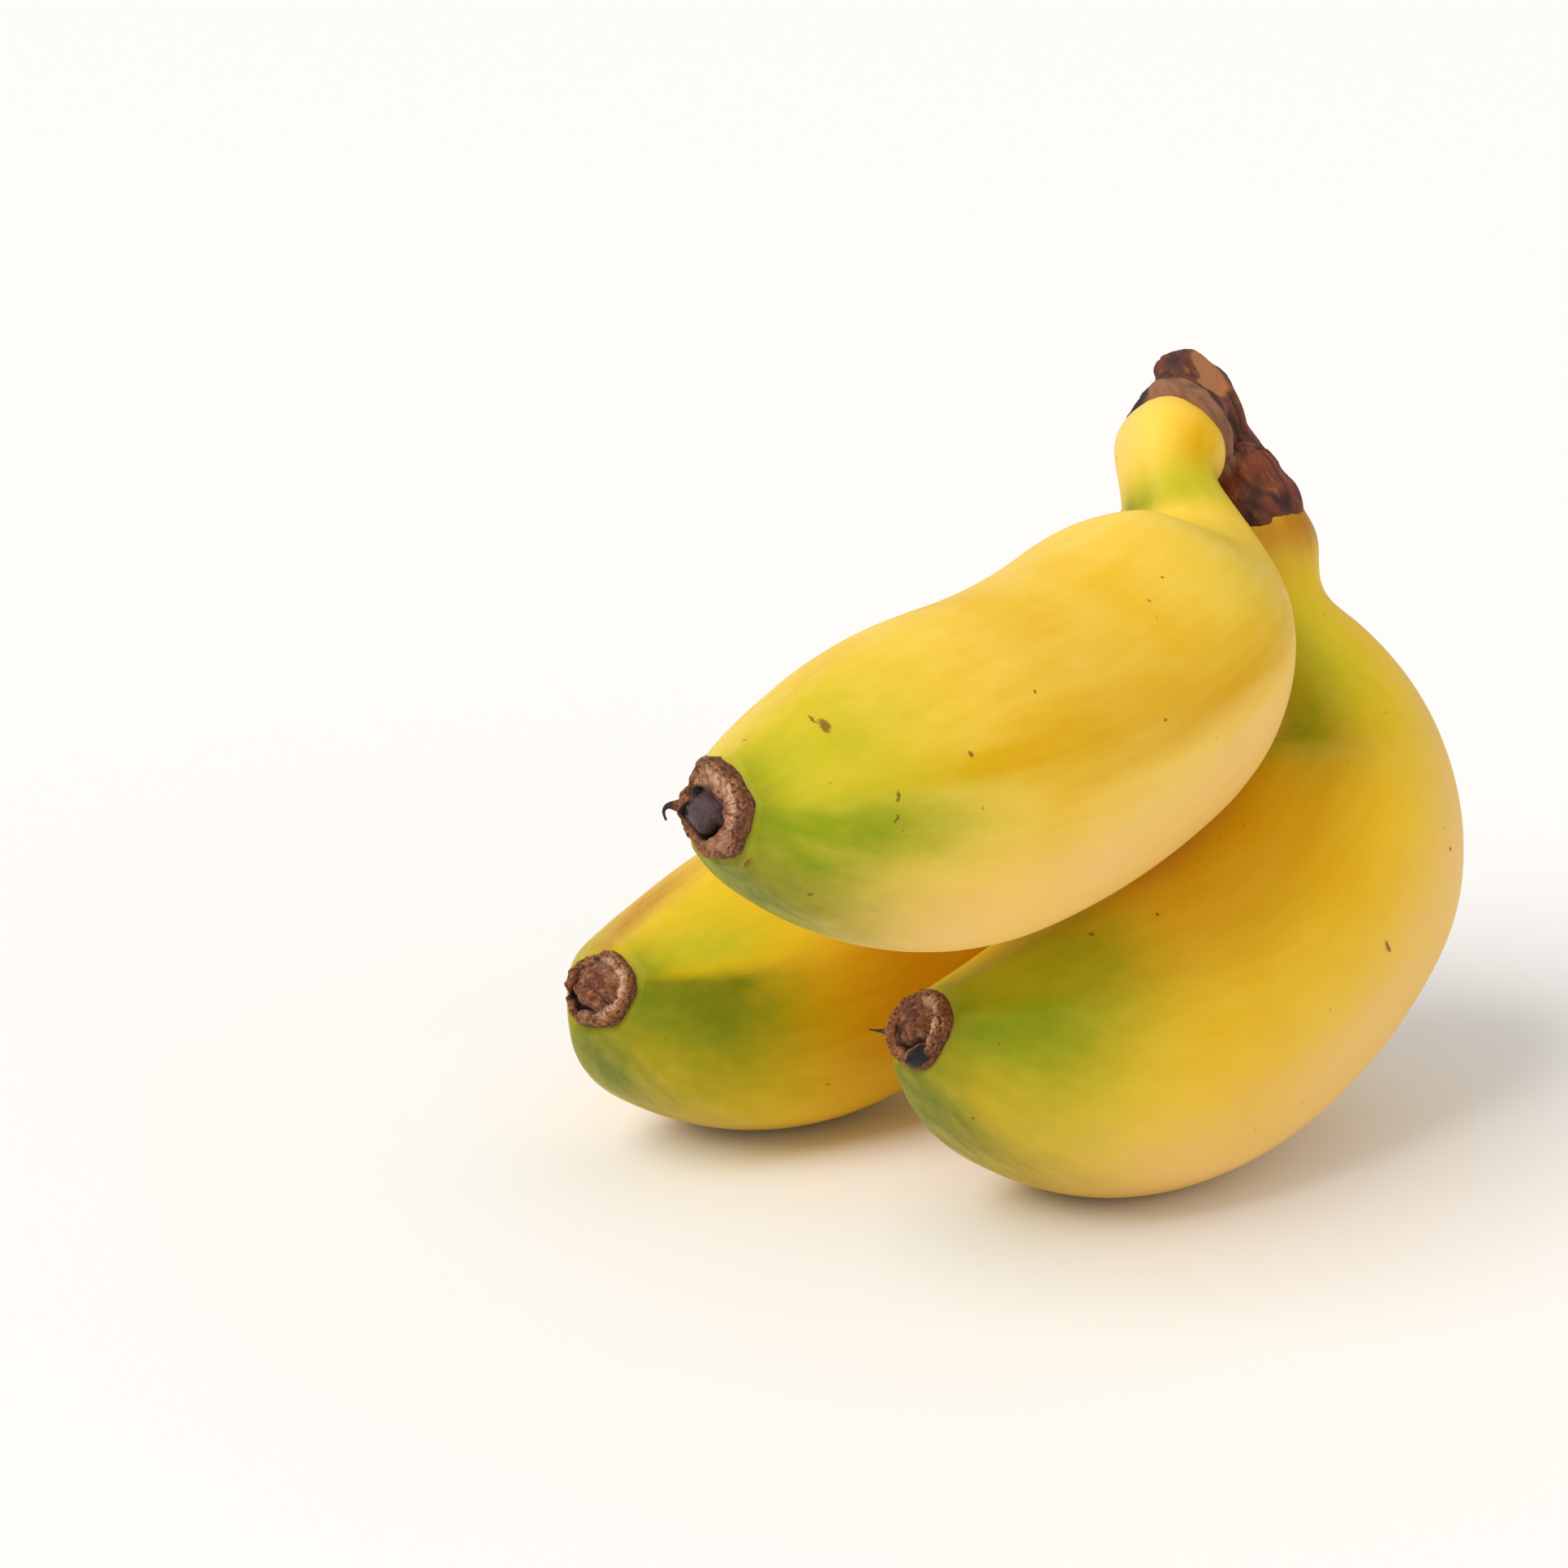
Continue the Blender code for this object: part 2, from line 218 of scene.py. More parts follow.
def frame_at(finger, s):
    """The axis at one distance s as a matrix: X to the inner side of the bend, Z along the finger."""
    point, inner, sideways, along = (part[0] for part in axis_at(finger, np.array([s])))
    turned = Matrix((inner, sideways, along)).transposed().to_4x4()
    return Matrix.Translation(point) @ turned


def radius_at(finger, s):
    """The finger's mean radius at distances s: stalk, bulb, neck, shoulder, belly, and a taper to the scar."""
    girth, neck, scar = finger["girth"], finger["neck"], finger["scar"]
    swell = smooth_step((s - NECK_LENGTH) / (SHOULDER_END - NECK_LENGTH))
    left = np.clip((finger["length"] - s) / TAPER_LENGTH, 0.0, 1.0)
    tapered = 1 - (1 - left) ** TAPER_POWER
    bulb = finger["bulb_rise"] * bell((s - finger["bulb"]) / BULB_SPREAD)
    body = scar + (neck + (girth - neck) * swell - scar) * tapered + bulb
    buried = finger["collar"] - STALK_DEPTH
    return finger["stalk"] + (body - finger["stalk"]) * smooth_step((s - buried) / STALK_RISE)


def ridge_share(finger, s):
    """How far the section is drawn towards the five-sided figure at distances s."""
    grown = smooth_step((s - NECK_LENGTH) / (SHOULDER_END - NECK_LENGTH))
    body = RIDGE_SHARE_NECK + (RIDGE_SHARE_BODY - RIDGE_SHARE_NECK) * grown
    tip = smooth_step(1 - (finger["length"] - s) / RIDGE_TIP_REACH)
    return body + (RIDGE_SHARE_TIP - body) * tip


def five_sided(finger, angle):
    """The five-sided figure's radius at angles in degrees, over its mean radius, with its edges rounded."""
    every = np.arange(360.0)
    figure = np.ones(360)
    corners = list(finger["ridges"])
    for corner, following in zip(corners, corners[1:] + [corners[0] + 360]):
        half = (following - corner) / 2
        away = (every - corner) % 360
        inside = away < 2 * half
        figure[inside] = math.cos(math.radians(half)) / np.cos(np.radians(away[inside] - half))
    weight = bell(angle_gap(every, 0.0) / RIDGE_ROUNDING)
    rounded = np.real(np.fft.ifft(np.fft.fft(figure) * np.fft.fft(weight))) / weight.sum()
    return np.interp(angle % 360, np.append(every, 360.0), np.append(rounded, rounded[0])) / rounded.mean()


def deselect_all():
    """Leaves nothing selected, so that an operator acts on the new piece alone."""
    if bpy.context.object and bpy.context.object.mode != "OBJECT":
        bpy.ops.object.mode_set(mode="OBJECT")
    bpy.ops.object.select_all(action="DESELECT")


def read_points(piece):
    """A mesh object's points as an array."""
    points = np.empty(len(piece.data.vertices) * 3, dtype=np.float64)
    piece.data.vertices.foreach_get("co", points)
    return points.reshape(-1, 3)


def write_points(piece, points):
    """Puts an array back as a mesh object's points."""
    piece.data.vertices.foreach_set("co", points.ravel())
    piece.data.update()


def keep(piece, name, values):
    """Keeps a number or a place for each point, which the piece's material reads."""
    values = np.asarray(values, dtype=np.float32)
    kind, key = ("FLOAT", "value") if values.ndim == 1 else ("FLOAT_VECTOR", "vector")
    piece.data.attributes.new(name, kind, "POINT").data.foreach_set(key, values.ravel())


def finish_piece(piece, name, made_of, nodes):
    """Names a piece, gives it its material, shades it smooth, hides the model's parts it stands for, and hangs it
    on its body.
    """
    piece.name = name
    piece.data.name = name
    piece.data.materials.clear()
    piece.data.materials.append(made_of)
    piece.data.shade_smooth()
    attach(piece, "root")
    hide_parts(*nodes)


# The peel's yellows, lighter and deeper, the colours that lie over them, and those of its marks.
LEMON = {"upper": "#F8D55A", "right": "#F0C838", "left": "#F2CA32"}
SUNNY = {"upper": "#EEBC20", "right": "#E9B612", "left": "#EAB810"}
PATCH_COLOURS = {
    # Gold is partly painted shade, deeper where the upper finger shades the others; on the upper finger it gives
    # deeper gold patches, lines along its ridges and a spot on its neck.
    "gold_and_painted_shade": "#DFA802",
    # Cream is painted light: the paler, pinker tone of faces turned to the floor and lit by its light thrown back.
    "cream_painted_light": "#F2C674",
    "tan": "#BE8634",
    "lime": "#BEB620",
    "green": "#8D9B0A",
    "deep_green": "#727A02",
    "grey_green": "#727A1A",
    # Brown is painted shade on the left finger, and dried peel by the crown on the right finger.
    "brown": "#B4780E",
}
FLECK = "#6A4A14"
MARK = "#80501C"
SCAR_EDGE = "#6E4A3A"

# The peel's patterns, by how many fit in a millimetre: slow patches 17 mm across, streaks 2 mm wide and 14 mm
# long, cells 3 mm across that each may hold a fleck, marks made ragged by 0.9 mm every 0.7 mm, and pores of
# 0.6 mm, which are coarser than real ones, so that they show.
SLOW_PATCHES = 0.06
STREAKS = (0.55, 0.55, 0.07)
FLECK_CELLS = 0.36
RAGGED = 1.4
RAGGED_BY = 0.9
PORES = 1.6

# Wax and a thin see-through skin: light goes about a millimetre into it.
PEEL_FINISH = {
    "IOR": 1.45,
    "Specular IOR Level": 0.15,
    "Subsurface Weight": 0.06,
    "Subsurface Radius": (1.0, 0.55, 0.12),
    "Subsurface Scale": 0.0010,
}

# How much the streaks add to the slow patches of deeper yellow, which cells hold a fleck, and how faint it is.
STREAK_SHARE = 0.3
FLECKS_FROM = 0.72
FLECK_STRENGTH = 0.45

# The soft patches of colour: what it is, how far from the scar in mm, the angle round the finger, how far it
# reaches along in mm, how wide it is in degrees below and above that angle, and how strong it is. Cream patches
# are painted light; gold patches, in part, and the left finger's brown patches are painted shade.
PATCHES = {
    "upper": (
        # Painted light: the cream patches make the lower faces paler and pinker, as light thrown back from the
        # floor, and put a painted highlight on the neck.
        ("cream_painted_light", 24, 186, 15, 50, 28, 1.0),
        ("cream_painted_light", 46, 212, 20, 70, 18, 1.0),
        ("cream_painted_light", 72, 226, 24, 74, 13, 1.0),
        ("cream_painted_light", 104, 28, 7, 40, 40, 0.9),
        ("cream_painted_light", 106, 226, 4, 24, 20, 0.7),
        ("gold_and_painted_shade", 38, 286, 20, 28, 34, 0.45),
        ("gold_and_painted_shade", 28, 260, 28, 6, 12, 1.0),
        ("gold_and_painted_shade", 60, 250, 26, 7, 18, 0.9),
        ("gold_and_painted_shade", 102, 282, 5, 34, 24, 1.0),
        ("lime", 3, 292, 14, 40, 50, 1.0),
        ("lime", 7, 246, 10, 26, 26, 0.8),
        ("lime", 5, 100, 14, 60, 60, 0.9),
        ("lime", 97.5, 310, 3.2, 110, 110, 0.9),
        ("lime", 80, 286, 12, 34, 30, 0.35),
        ("green", 6, 238, 12, 15, 15, 1.0),
        ("green", 5, 214, 7, 24, 18, 1.0),
        ("green", 0, 260, 4.0, 110, 90, 0.6),
        ("green", 2, 90, 8, 60, 60, 0.7),
        ("grey_green", 4, 165, 12, 60, 40, 1.0),
        ("grey_green", 0, 240, 2.6, 70, 70, 0.6),
        ("grey_green", 97.5, 226, 2.2, 26, 16, 0.8),
        ("grey_green", 96.5, 14, 2.2, 34, 30, 0.8),
    ),
    "right": (
        # Painted light: the cream patches make the lower faces paler and pinker, as light thrown back from the
        # floor.
        ("cream_painted_light", 28, 216, 14, 60, 20, 0.9),
        ("cream_painted_light", 48, 232, 20, 60, 22, 1.0),
        ("cream_painted_light", 72, 248, 16, 50, 22, 0.7),
        # Painted shade: deeper gold where the upper finger shades this one.
        ("gold_and_painted_shade", 34, 316, 22, 34, 30, 0.7),
        ("gold_and_painted_shade", 60, 322, 24, 30, 34, 1.0),
        ("lime", 8, 280, 9, 56, 46, 0.8),
        ("lime", 5, 330, 15, 30, 40, 1.0),
        ("lime", 92, 310, 12, 60, 60, 0.9),
        ("green", 5, 278, 10, 36, 34, 1.0),
        ("green", 15, 316, 8, 30, 30, 0.6),
        ("green", 80, 334, 12, 22, 22, 0.8),
        ("green", 2, 90, 9, 60, 60, 0.8),
        ("green", 0, 270, 4.0, 110, 90, 0.7),
        ("grey_green", 4, 168, 14, 70, 56, 1.0),
        ("grey_green", 0, 260, 3.0, 80, 80, 0.6),
        ("tan", 106.5, 280, 3.6, 100, 60, 1.0),
        ("brown", 107.6, 268, 2.2, 60, 70, 1.0),
    ),
    "left": (
        # Painted light: the cream patch makes the lower face paler and pinker, as light thrown back from the
        # floor.
        ("cream_painted_light", 24, 206, 12, 50, 26, 0.8),
        # Painted shade: deeper gold where the upper finger shades this one.
        ("gold_and_painted_shade", 22, 290, 18, 34, 22, 1.0),
        ("gold_and_painted_shade", 48, 290, 22, 50, 50, 1.0),
        ("lime", 7, 330, 13, 9, 40, 1.0),
        ("lime", 14, 262, 12, 34, 34, 0.2),
        ("lime", 96, 200, 12, 170, 170, 0.7),
        ("green", 6, 296, 13, 46, 20, 1.0),
        ("green", 0, 300, 4.0, 110, 60, 0.7),
        ("green", 2, 110, 9, 70, 70, 0.8),
        ("deep_green", 8, 312, 9, 46, 6, 1.0),
        ("grey_green", 4, 200, 13, 70, 50, 1.0),
        ("grey_green", 0, 290, 3.0, 80, 80, 0.6),
        # Painted shade: brown on the facet by the tip and under the upper finger, where shade falls.
        ("brown", 9, 40, 15, 18, 26, 0.8),
        ("brown", 34, 304, 12, 34, 30, 0.35),
    ),
}

# The brown marks in the skin: how far from the scar in mm, the angle, its length along, its width round in mm.
MARKS = {
    "upper": (
        (8.5, 302, 1.0, 1.9),
        (8.1, 310, 0.4, 1.6),
        (11.6, 254, 0.35, 1.2),
        (11.6, 244, 0.35, 1.2),
        (20.0, 266, 0.5, 0.8),
        (31.3, 281, 0.5, 0.7),
        (47.7, 256, 0.7, 0.5),
        (7.0, 191, 0.8, 0.5),
        (1.4, 186, 0.4, 1.4),
        (3.4, 338, 0.5, 0.5),
        (62.6, 298, 0.45, 0.45),
        (57.5, 294, 0.4, 0.4),
    ),
    "right": (
        (54.9, 260, 0.8, 1.9),
        (28.0, 322, 0.5, 0.7),
        (17.7, 326, 0.6, 0.9),
        (6.1, 203, 0.6, 0.6),
        (70.0, 250, 0.6, 0.6),
        (45.0, 60, 0.9, 1.2),
    ),
    "left": (
        (24.0, 262, 0.5, 0.5),
        (40.0, 120, 1.2, 0.9),
        (60.0, 60, 0.8, 1.2),
    ),
}


def paint_finger(piece, name, s, angle):
    """Works out how much of each colour every point of a finger has."""
    from_scar = (FINGERS[name]["length"] - s) / MM
    for kind in PATCH_COLOURS:
        bare = np.ones(len(s))
        for patch, along, around, reach, below, above, strength in PATCHES[name]:
            if patch == kind:
                turned = angle_gap(angle, around)
                gap = np.hypot((from_scar - along) / reach, turned / np.where(turned < 0, below, above))
                bare *= 1 - strength * bell(gap)
        keep(piece, kind, 1 - bare)
    keep(piece, "from_scar", from_scar)


def cut_into_rings(piece, cuts, goes=1):
    """Cuts an upright cylinder across evenly, so many cuts a go, and puts its place in its mesh."""
    for _ in range(goes):
        ends = read_points(piece)
        for part in (*piece.data.polygons, *piece.data.vertices):
            part.select = False
        for edge in piece.data.edges:
            start, end = edge.vertices
            edge.select = bool(abs(ends[start][2] - ends[end][2]) > AXIS_STEP / 10)
        bpy.context.tool_settings.mesh_select_mode = (False, True, False)
        bpy.ops.object.mode_set(mode="EDIT")
        bpy.ops.mesh.subdivide(number_cuts=cuts)
        bpy.ops.object.mode_set(mode="OBJECT")
    bpy.ops.object.transform_apply(location=True, rotation=True, scale=True)


def make_finger(name, made_of):
    """A finger: a cylinder cut into fine rings, carried to its bent, five-edged, slightly lumpy place.

    The rings lie closer together towards both ends.
    """
    finger = FINGERS[name]
    first = finger["collar"] - STALK_DEPTH
    last = finger["length"] - SCAR_DEPTH
    deselect_all()
    bpy.ops.mesh.primitive_cylinder_add(
        vertices=ROUND_FINGER, radius=finger["girth"], depth=last - first, location=(0, 0, (last + first) / 2)
    )
    piece = bpy.context.object
    cut_into_rings(piece, CUTS_A_GO, GOES)
    straight = read_points(piece)
    share = (straight[:, 2] - first) / (last - first)
    s = first + (last - first) * (0.5 * share + 0.25 * (1 - np.cos(np.pi * share)))
    angle = np.degrees(np.arctan2(straight[:, 1], straight[:, 0]))
    around = np.radians(angle)
    drawn = ridge_share(finger, s)
    radius = radius_at(finger, s) * (1 + drawn * (five_sided(finger, angle) - 1))
    unbent = np.stack((np.cos(around) * radius, np.sin(around) * radius, finger["length"] - s), axis=-1)
    radius += skin_relief(name, unbent, s, radius)
    pointed = STALK_POINT_SHARE + (1 - STALK_POINT_SHARE) * smooth_step((s - first) / STALK_POINT)
    radius *= tip_squeeze(name, angle, finger["length"] - s) * pointed
    points, inner, sideways, _ = axis_at(finger, s)
    points = points + inner * (np.cos(around) * radius)[:, None] + sideways * (np.sin(around) * radius)[:, None]
    points[:, 2] = np.maximum(points[:, 2], 0.0)
    write_points(piece, points)
    paint_finger(piece, name, s, angle)
    keep(piece, "unbent", unbent / MM)
    finish_piece(piece, f"banana_{name}_peel", made_of, [f"banana_{name}"])


def tip_squeeze(name, angle, from_scar):
    """The share of its radius that the upper finger keeps by its scar, which is pinched in on one side."""
    if name != "upper":
        return np.ones(len(angle))
    return 1 - PINCH * bell(angle_gap(angle, PINCH_AT) / PINCH_WIDTH) * smooth_step(1 - from_scar / PINCH_REACH)


def skin_relief(name, unbent, s, radius):
    """How far each point of a finger stands out from its smooth form: slow lumps, and furrows along it."""
    offset = Vector((list(FINGERS).index(name) * 1.7, 0.3, 0.9))
    relief = np.empty(len(s))
    for i, (x, y, z) in enumerate(unbent):
        lump = noise.noise(Vector((x, y, z * LUMP_STRETCH)) / LUMP_LENGTH + offset)
        furrow = noise.noise(Vector((x / FURROW_WIDTH, y / FURROW_WIDTH, z / FURROW_LENGTH)) + offset)
        relief[i] = lump * LUMP_HEIGHT + furrow * FURROW_HEIGHT
    return relief * np.clip(radius / FULL_RELIEF_RADIUS, LEAST_RELIEF, 1.0)


def peel_material(name):
    """Ripe banana peel: a waxy, slightly see-through skin, yellow with green tips and a few brown marks.

    The wax gives a broad soft sheen. The edges and tips keep some green, which runs out along the fruit in
    streaks. The faces turned from the light are painted paler and pinker, as light thrown back from the floor,
    and deeper gold and brown are painted as shade where the upper finger shades the others.
    """
    made, tree, shader = new_material(f"waxy_peel_{name}", PEEL_FINISH)
    unbent = node(tree, "ShaderNodeAttribute", attribute_name="unbent").outputs["Vector"]
    slow = node(tree, "ShaderNodeTexNoise", {"Vector": unbent, "Scale": SLOW_PATCHES, "Detail": 5.0})
    streak_place = node(tree, "ShaderNodeVectorMath", {0: unbent, 1: STREAKS}, operation="MULTIPLY")
    streak = node(
        tree, "ShaderNodeTexNoise", {"Vector": streak_place.outputs[0], "Scale": 1.0, "Detail": 4.0}
    ).outputs["Fac"]
    both = node(
        tree, "ShaderNodeMath", {0: streak, 1: STREAK_SHARE, 2: slow.outputs["Fac"]}, operation="MULTIPLY_ADD"
    )
    spread = {}
    for use, source, low, high, at_low, at_high in (
        ("deeper yellow", both.outputs[0], 0.46, 0.84, 0.08, 0.92),
        ("patches", streak, 0.3, 0.7, 0.80, 1.12),
        ("roughness", streak, 0.3, 0.7, 0.40, 0.52),
    ):
        spread[use] = node(
            tree,
            "ShaderNodeMapRange",
            {"Value": source, "From Min": low, "From Max": high, "To Min": at_low, "To Max": at_high},
        ).outputs["Result"]
    colour = node(
        tree,
        "ShaderNodeMix",
        {0: spread["deeper yellow"], 6: linear(LEMON[name]), 7: linear(SUNNY[name])},
        data_type="RGBA",
    ).outputs[2]
    layers = []
    for kind, code in PATCH_COLOURS.items():
        amount = node(tree, "ShaderNodeAttribute", attribute_name=kind).outputs["Fac"]
        broken = node(
            tree, "ShaderNodeMath", {0: amount, 1: spread["patches"]}, operation="MULTIPLY", use_clamp=True
        )
        layers.append((broken.outputs[0], code))
    layers.append((where_flecks_are(tree, unbent), FLECK))
    layers += [(amount, MARK) for amount in where_marks_are(tree, unbent, name)]
    layers.append((where_scar_edge_is(tree, streak), SCAR_EDGE))
    for amount, code in layers:
        layer = node(tree, "ShaderNodeMix", {0: amount, 6: colour, 7: linear(code)}, data_type="RGBA")
        colour = layer.outputs[2]
    tree.links.new(colour, shader.inputs["Base Color"])
    tree.links.new(spread["roughness"], shader.inputs["Roughness"])
    pores = node(tree, "ShaderNodeTexNoise", {"Vector": unbent, "Scale": PORES, "Detail": 3.0})
    first = node(tree, "ShaderNodeBump", {"Strength": 0.5, "Distance": 0.00010, "Height": streak})
    second = node(
        tree,
        "ShaderNodeBump",
        {"Strength": 0.35, "Distance": 0.00006, "Height": pores.outputs["Fac"], "Normal": first.outputs["Normal"]},
    )
    tree.links.new(second.outputs["Normal"], shader.inputs["Normal"])
    return made


def where_flecks_are(tree, unbent):
    """Tiny brown pores, a fifth of a millimetre wide, that show here and there."""
    cells = node(tree, "ShaderNodeTexVoronoi", {"Vector": unbent, "Scale": FLECK_CELLS})
    away = cells.outputs["Distance"]
    near = node(
        tree,
        "ShaderNodeMapRange",
        {"Value": away, "From Min": 0.035, "From Max": 0.075, "To Min": FLECK_STRENGTH, "To Max": 0.0},
    )
    channels = node(tree, "ShaderNodeSeparateColor", {"Color": cells.outputs["Color"]})
    chosen = node(tree, "ShaderNodeMath", {0: channels.outputs[0], 1: FLECKS_FROM}, operation="GREATER_THAN")
    return node(
        tree, "ShaderNodeMath", {0: near.outputs["Result"], 1: chosen.outputs[0]}, operation="MULTIPLY"
    ).outputs[0]


def where_marks_are(tree, unbent, name):
    """The larger brown marks, each a ragged oval at its own place on the skin."""
    finger = FINGERS[name]
    ragged = node(tree, "ShaderNodeTexNoise", {"Vector": unbent, "Scale": RAGGED, "Detail": 2.0})
    moved = node(
        tree,
        "ShaderNodeVectorMath",
        {0: ragged.outputs["Color"], 1: (RAGGED_BY,) * 3, 2: (-RAGGED_BY / 2,) * 3},
        operation="MULTIPLY_ADD",
    )
    place = node(tree, "ShaderNodeVectorMath", {0: unbent, 1: moved.outputs[0]}, operation="ADD").outputs[0]
    amounts = []
    for along, angle, length, width in MARKS[name]:
        s = np.array([finger["length"] - along * MM])
        drawn = 1 + ridge_share(finger, s) * (five_sided(finger, np.array([angle])) - 1)
        radius = float(radius_at(finger, s)[0] * drawn[0]) / MM
        centre = (radius * math.cos(math.radians(angle)), radius * math.sin(math.radians(angle)), along)
        away = node(tree, "ShaderNodeVectorMath", {0: place, 1: centre}, operation="SUBTRACT")
        scaled = node(
            tree,
            "ShaderNodeVectorMath",
            {0: away.outputs[0], 1: (1 / width, 1 / width, 1 / length)},
            operation="MULTIPLY",
        )
        far = node(tree, "ShaderNodeVectorMath", {0: scaled.outputs[0]}, operation="LENGTH")
        amount = node(
            tree,
            "ShaderNodeMapRange",
            {"Value": far.outputs["Value"], "From Min": 0.32, "From Max": 0.55, "To Min": 0.85, "To Max": 0.0},
        )
        amounts.append(amount.outputs["Result"])
    return amounts


def where_scar_edge_is(tree, streak):
    """The thin brown edge where the peel meets the blossom scar, a little ragged."""
    from_scar = node(tree, "ShaderNodeAttribute", attribute_name="from_scar").outputs["Fac"]
    ragged = node(tree, "ShaderNodeMath", {0: streak, 1: 1.2, 2: from_scar}, operation="MULTIPLY_ADD")
    return node(
        tree,
        "ShaderNodeMapRange",
        {"Value": ragged.outputs[0], "From Min": 1.0, "From Max": 1.5, "To Min": 0.85, "To Max": 0.0},
    ).outputs["Result"]


# The blossom scars, with angles round the finger's axis and the rest as shares of the scar's radius:
# the tan crescent's angle and width, the angle where the trench is deepest and its painted shade darkest, the
# dome's angle, its place, its size and how dark it is, the bumps and bites in the rim as angle, width and height,
# and the spots of mould as angle, place and size.
SCARS = {
    "upper": {
        "crescent": (285, 105), "gap": 130,
        "dome_at": 76, "dome_off": 0.30, "dome_size": 0.44, "dome_dark": 1.0,
        "rim": ((358, 15, 0.20), (34, 15, -0.10), (112, 30, -0.09), (262, 14, 0.06), (210, 16, -0.05)),
        "mould": ((70, 0.72, 0.24), (30, 0.62, 0.16)),
    },
    "right": {
        "crescent": (275, 95), "gap": 175,
        "dome_at": 60, "dome_off": 0.10, "dome_size": 0.54, "dome_dark": 0.10,
        "rim": ((200, 22, 0.06), (140, 12, -0.07), (60, 14, -0.04)),
        "mould": ((204, 0.88, 0.40), (112, 0.46, 0.20)),
    },
    "left": {
        "crescent": (300, 100), "gap": 150,
        "dome_at": 105, "dome_off": 0.10, "dome_size": 0.60, "dome_dark": 0.0,
        "rim": ((20, 16, 0.05), (130, 16, -0.05)),
        "mould": (),
    },
}
SCAR_SEGMENTS = 192
SCAR_RINGS = 112
SCAR_SEAT = 0.0016
SCAR_STANDS_OUT = {"upper": 0.0006, "right": 0.0004, "left": 0.0003}
SCAR_REACH = 1.02
RIM_CORNERS = 0.20
RIM_TORN = 0.06

# The scars' tears, grit and threads: how big they are, and how high they stand.
TEAR_SIZE = 0.0014
GRIT_SIZE = 0.00045
THREAD_SIZE = 0.0024
TEAR_HEIGHT = 0.00028
GRIT_HEIGHT = 0.00014
THREAD_HEIGHT = 0.00018

# How far the tears shift the dome's edge and the rings, how lumpy they make the dome and the rim, and how many
# waves the noise has round the rim and the threads.
DOME_TORN, RINGS_TORN, DOME_LUMPY, RIM_LUMPY = 0.28, 0.12, 0.35, 0.8
RIM_WAVES, RIM_RIPPLES, THREAD_WAVES = 1.6, 4.0, 6.0

# The scars' forms: a height, and the place and width as shares of the radius. The trench is counted from the dome.
DOME_HEIGHT = 0.0013
DOME_ROUNDS = 2.4
TRENCH_DEPTH, TRENCH_AT, TRENCH_WIDE = 0.00040, 1.10, 0.13
GAP_DEPTH, GAP_WIDE = 2.4, 38
RING_HEIGHT, RING_AT, RING_WIDE = 0.00028, 0.74, 0.08
EDGE_HEIGHT, EDGE_AT, EDGE_WIDE = 0.00050, 0.93, 0.07
FALL_HEIGHT, FALL_FROM, FALL_WIDE = 0.00070, 0.94, 0.06
THREADS_FROM, THREADS_WIDE = 0.45, 0.2
CRESCENT_AT, CRESCENT_WIDE = 0.70, 0.20
SEAT_WALL = 0.15

# Where the dome's colour ends, how deep the trench is where its painted shade starts and how fast that grows, and
# how ragged and how soft the mould's spots are.
DOME_COLOUR_TO, DOME_COLOUR_WIDE = 1.12, 0.16
SHADE_FROM, SHADE_RUN = 0.00022, 0.00045
MOULD_RAGGED, MOULD_FROM, MOULD_RUN = 0.10, 0.6, 0.5


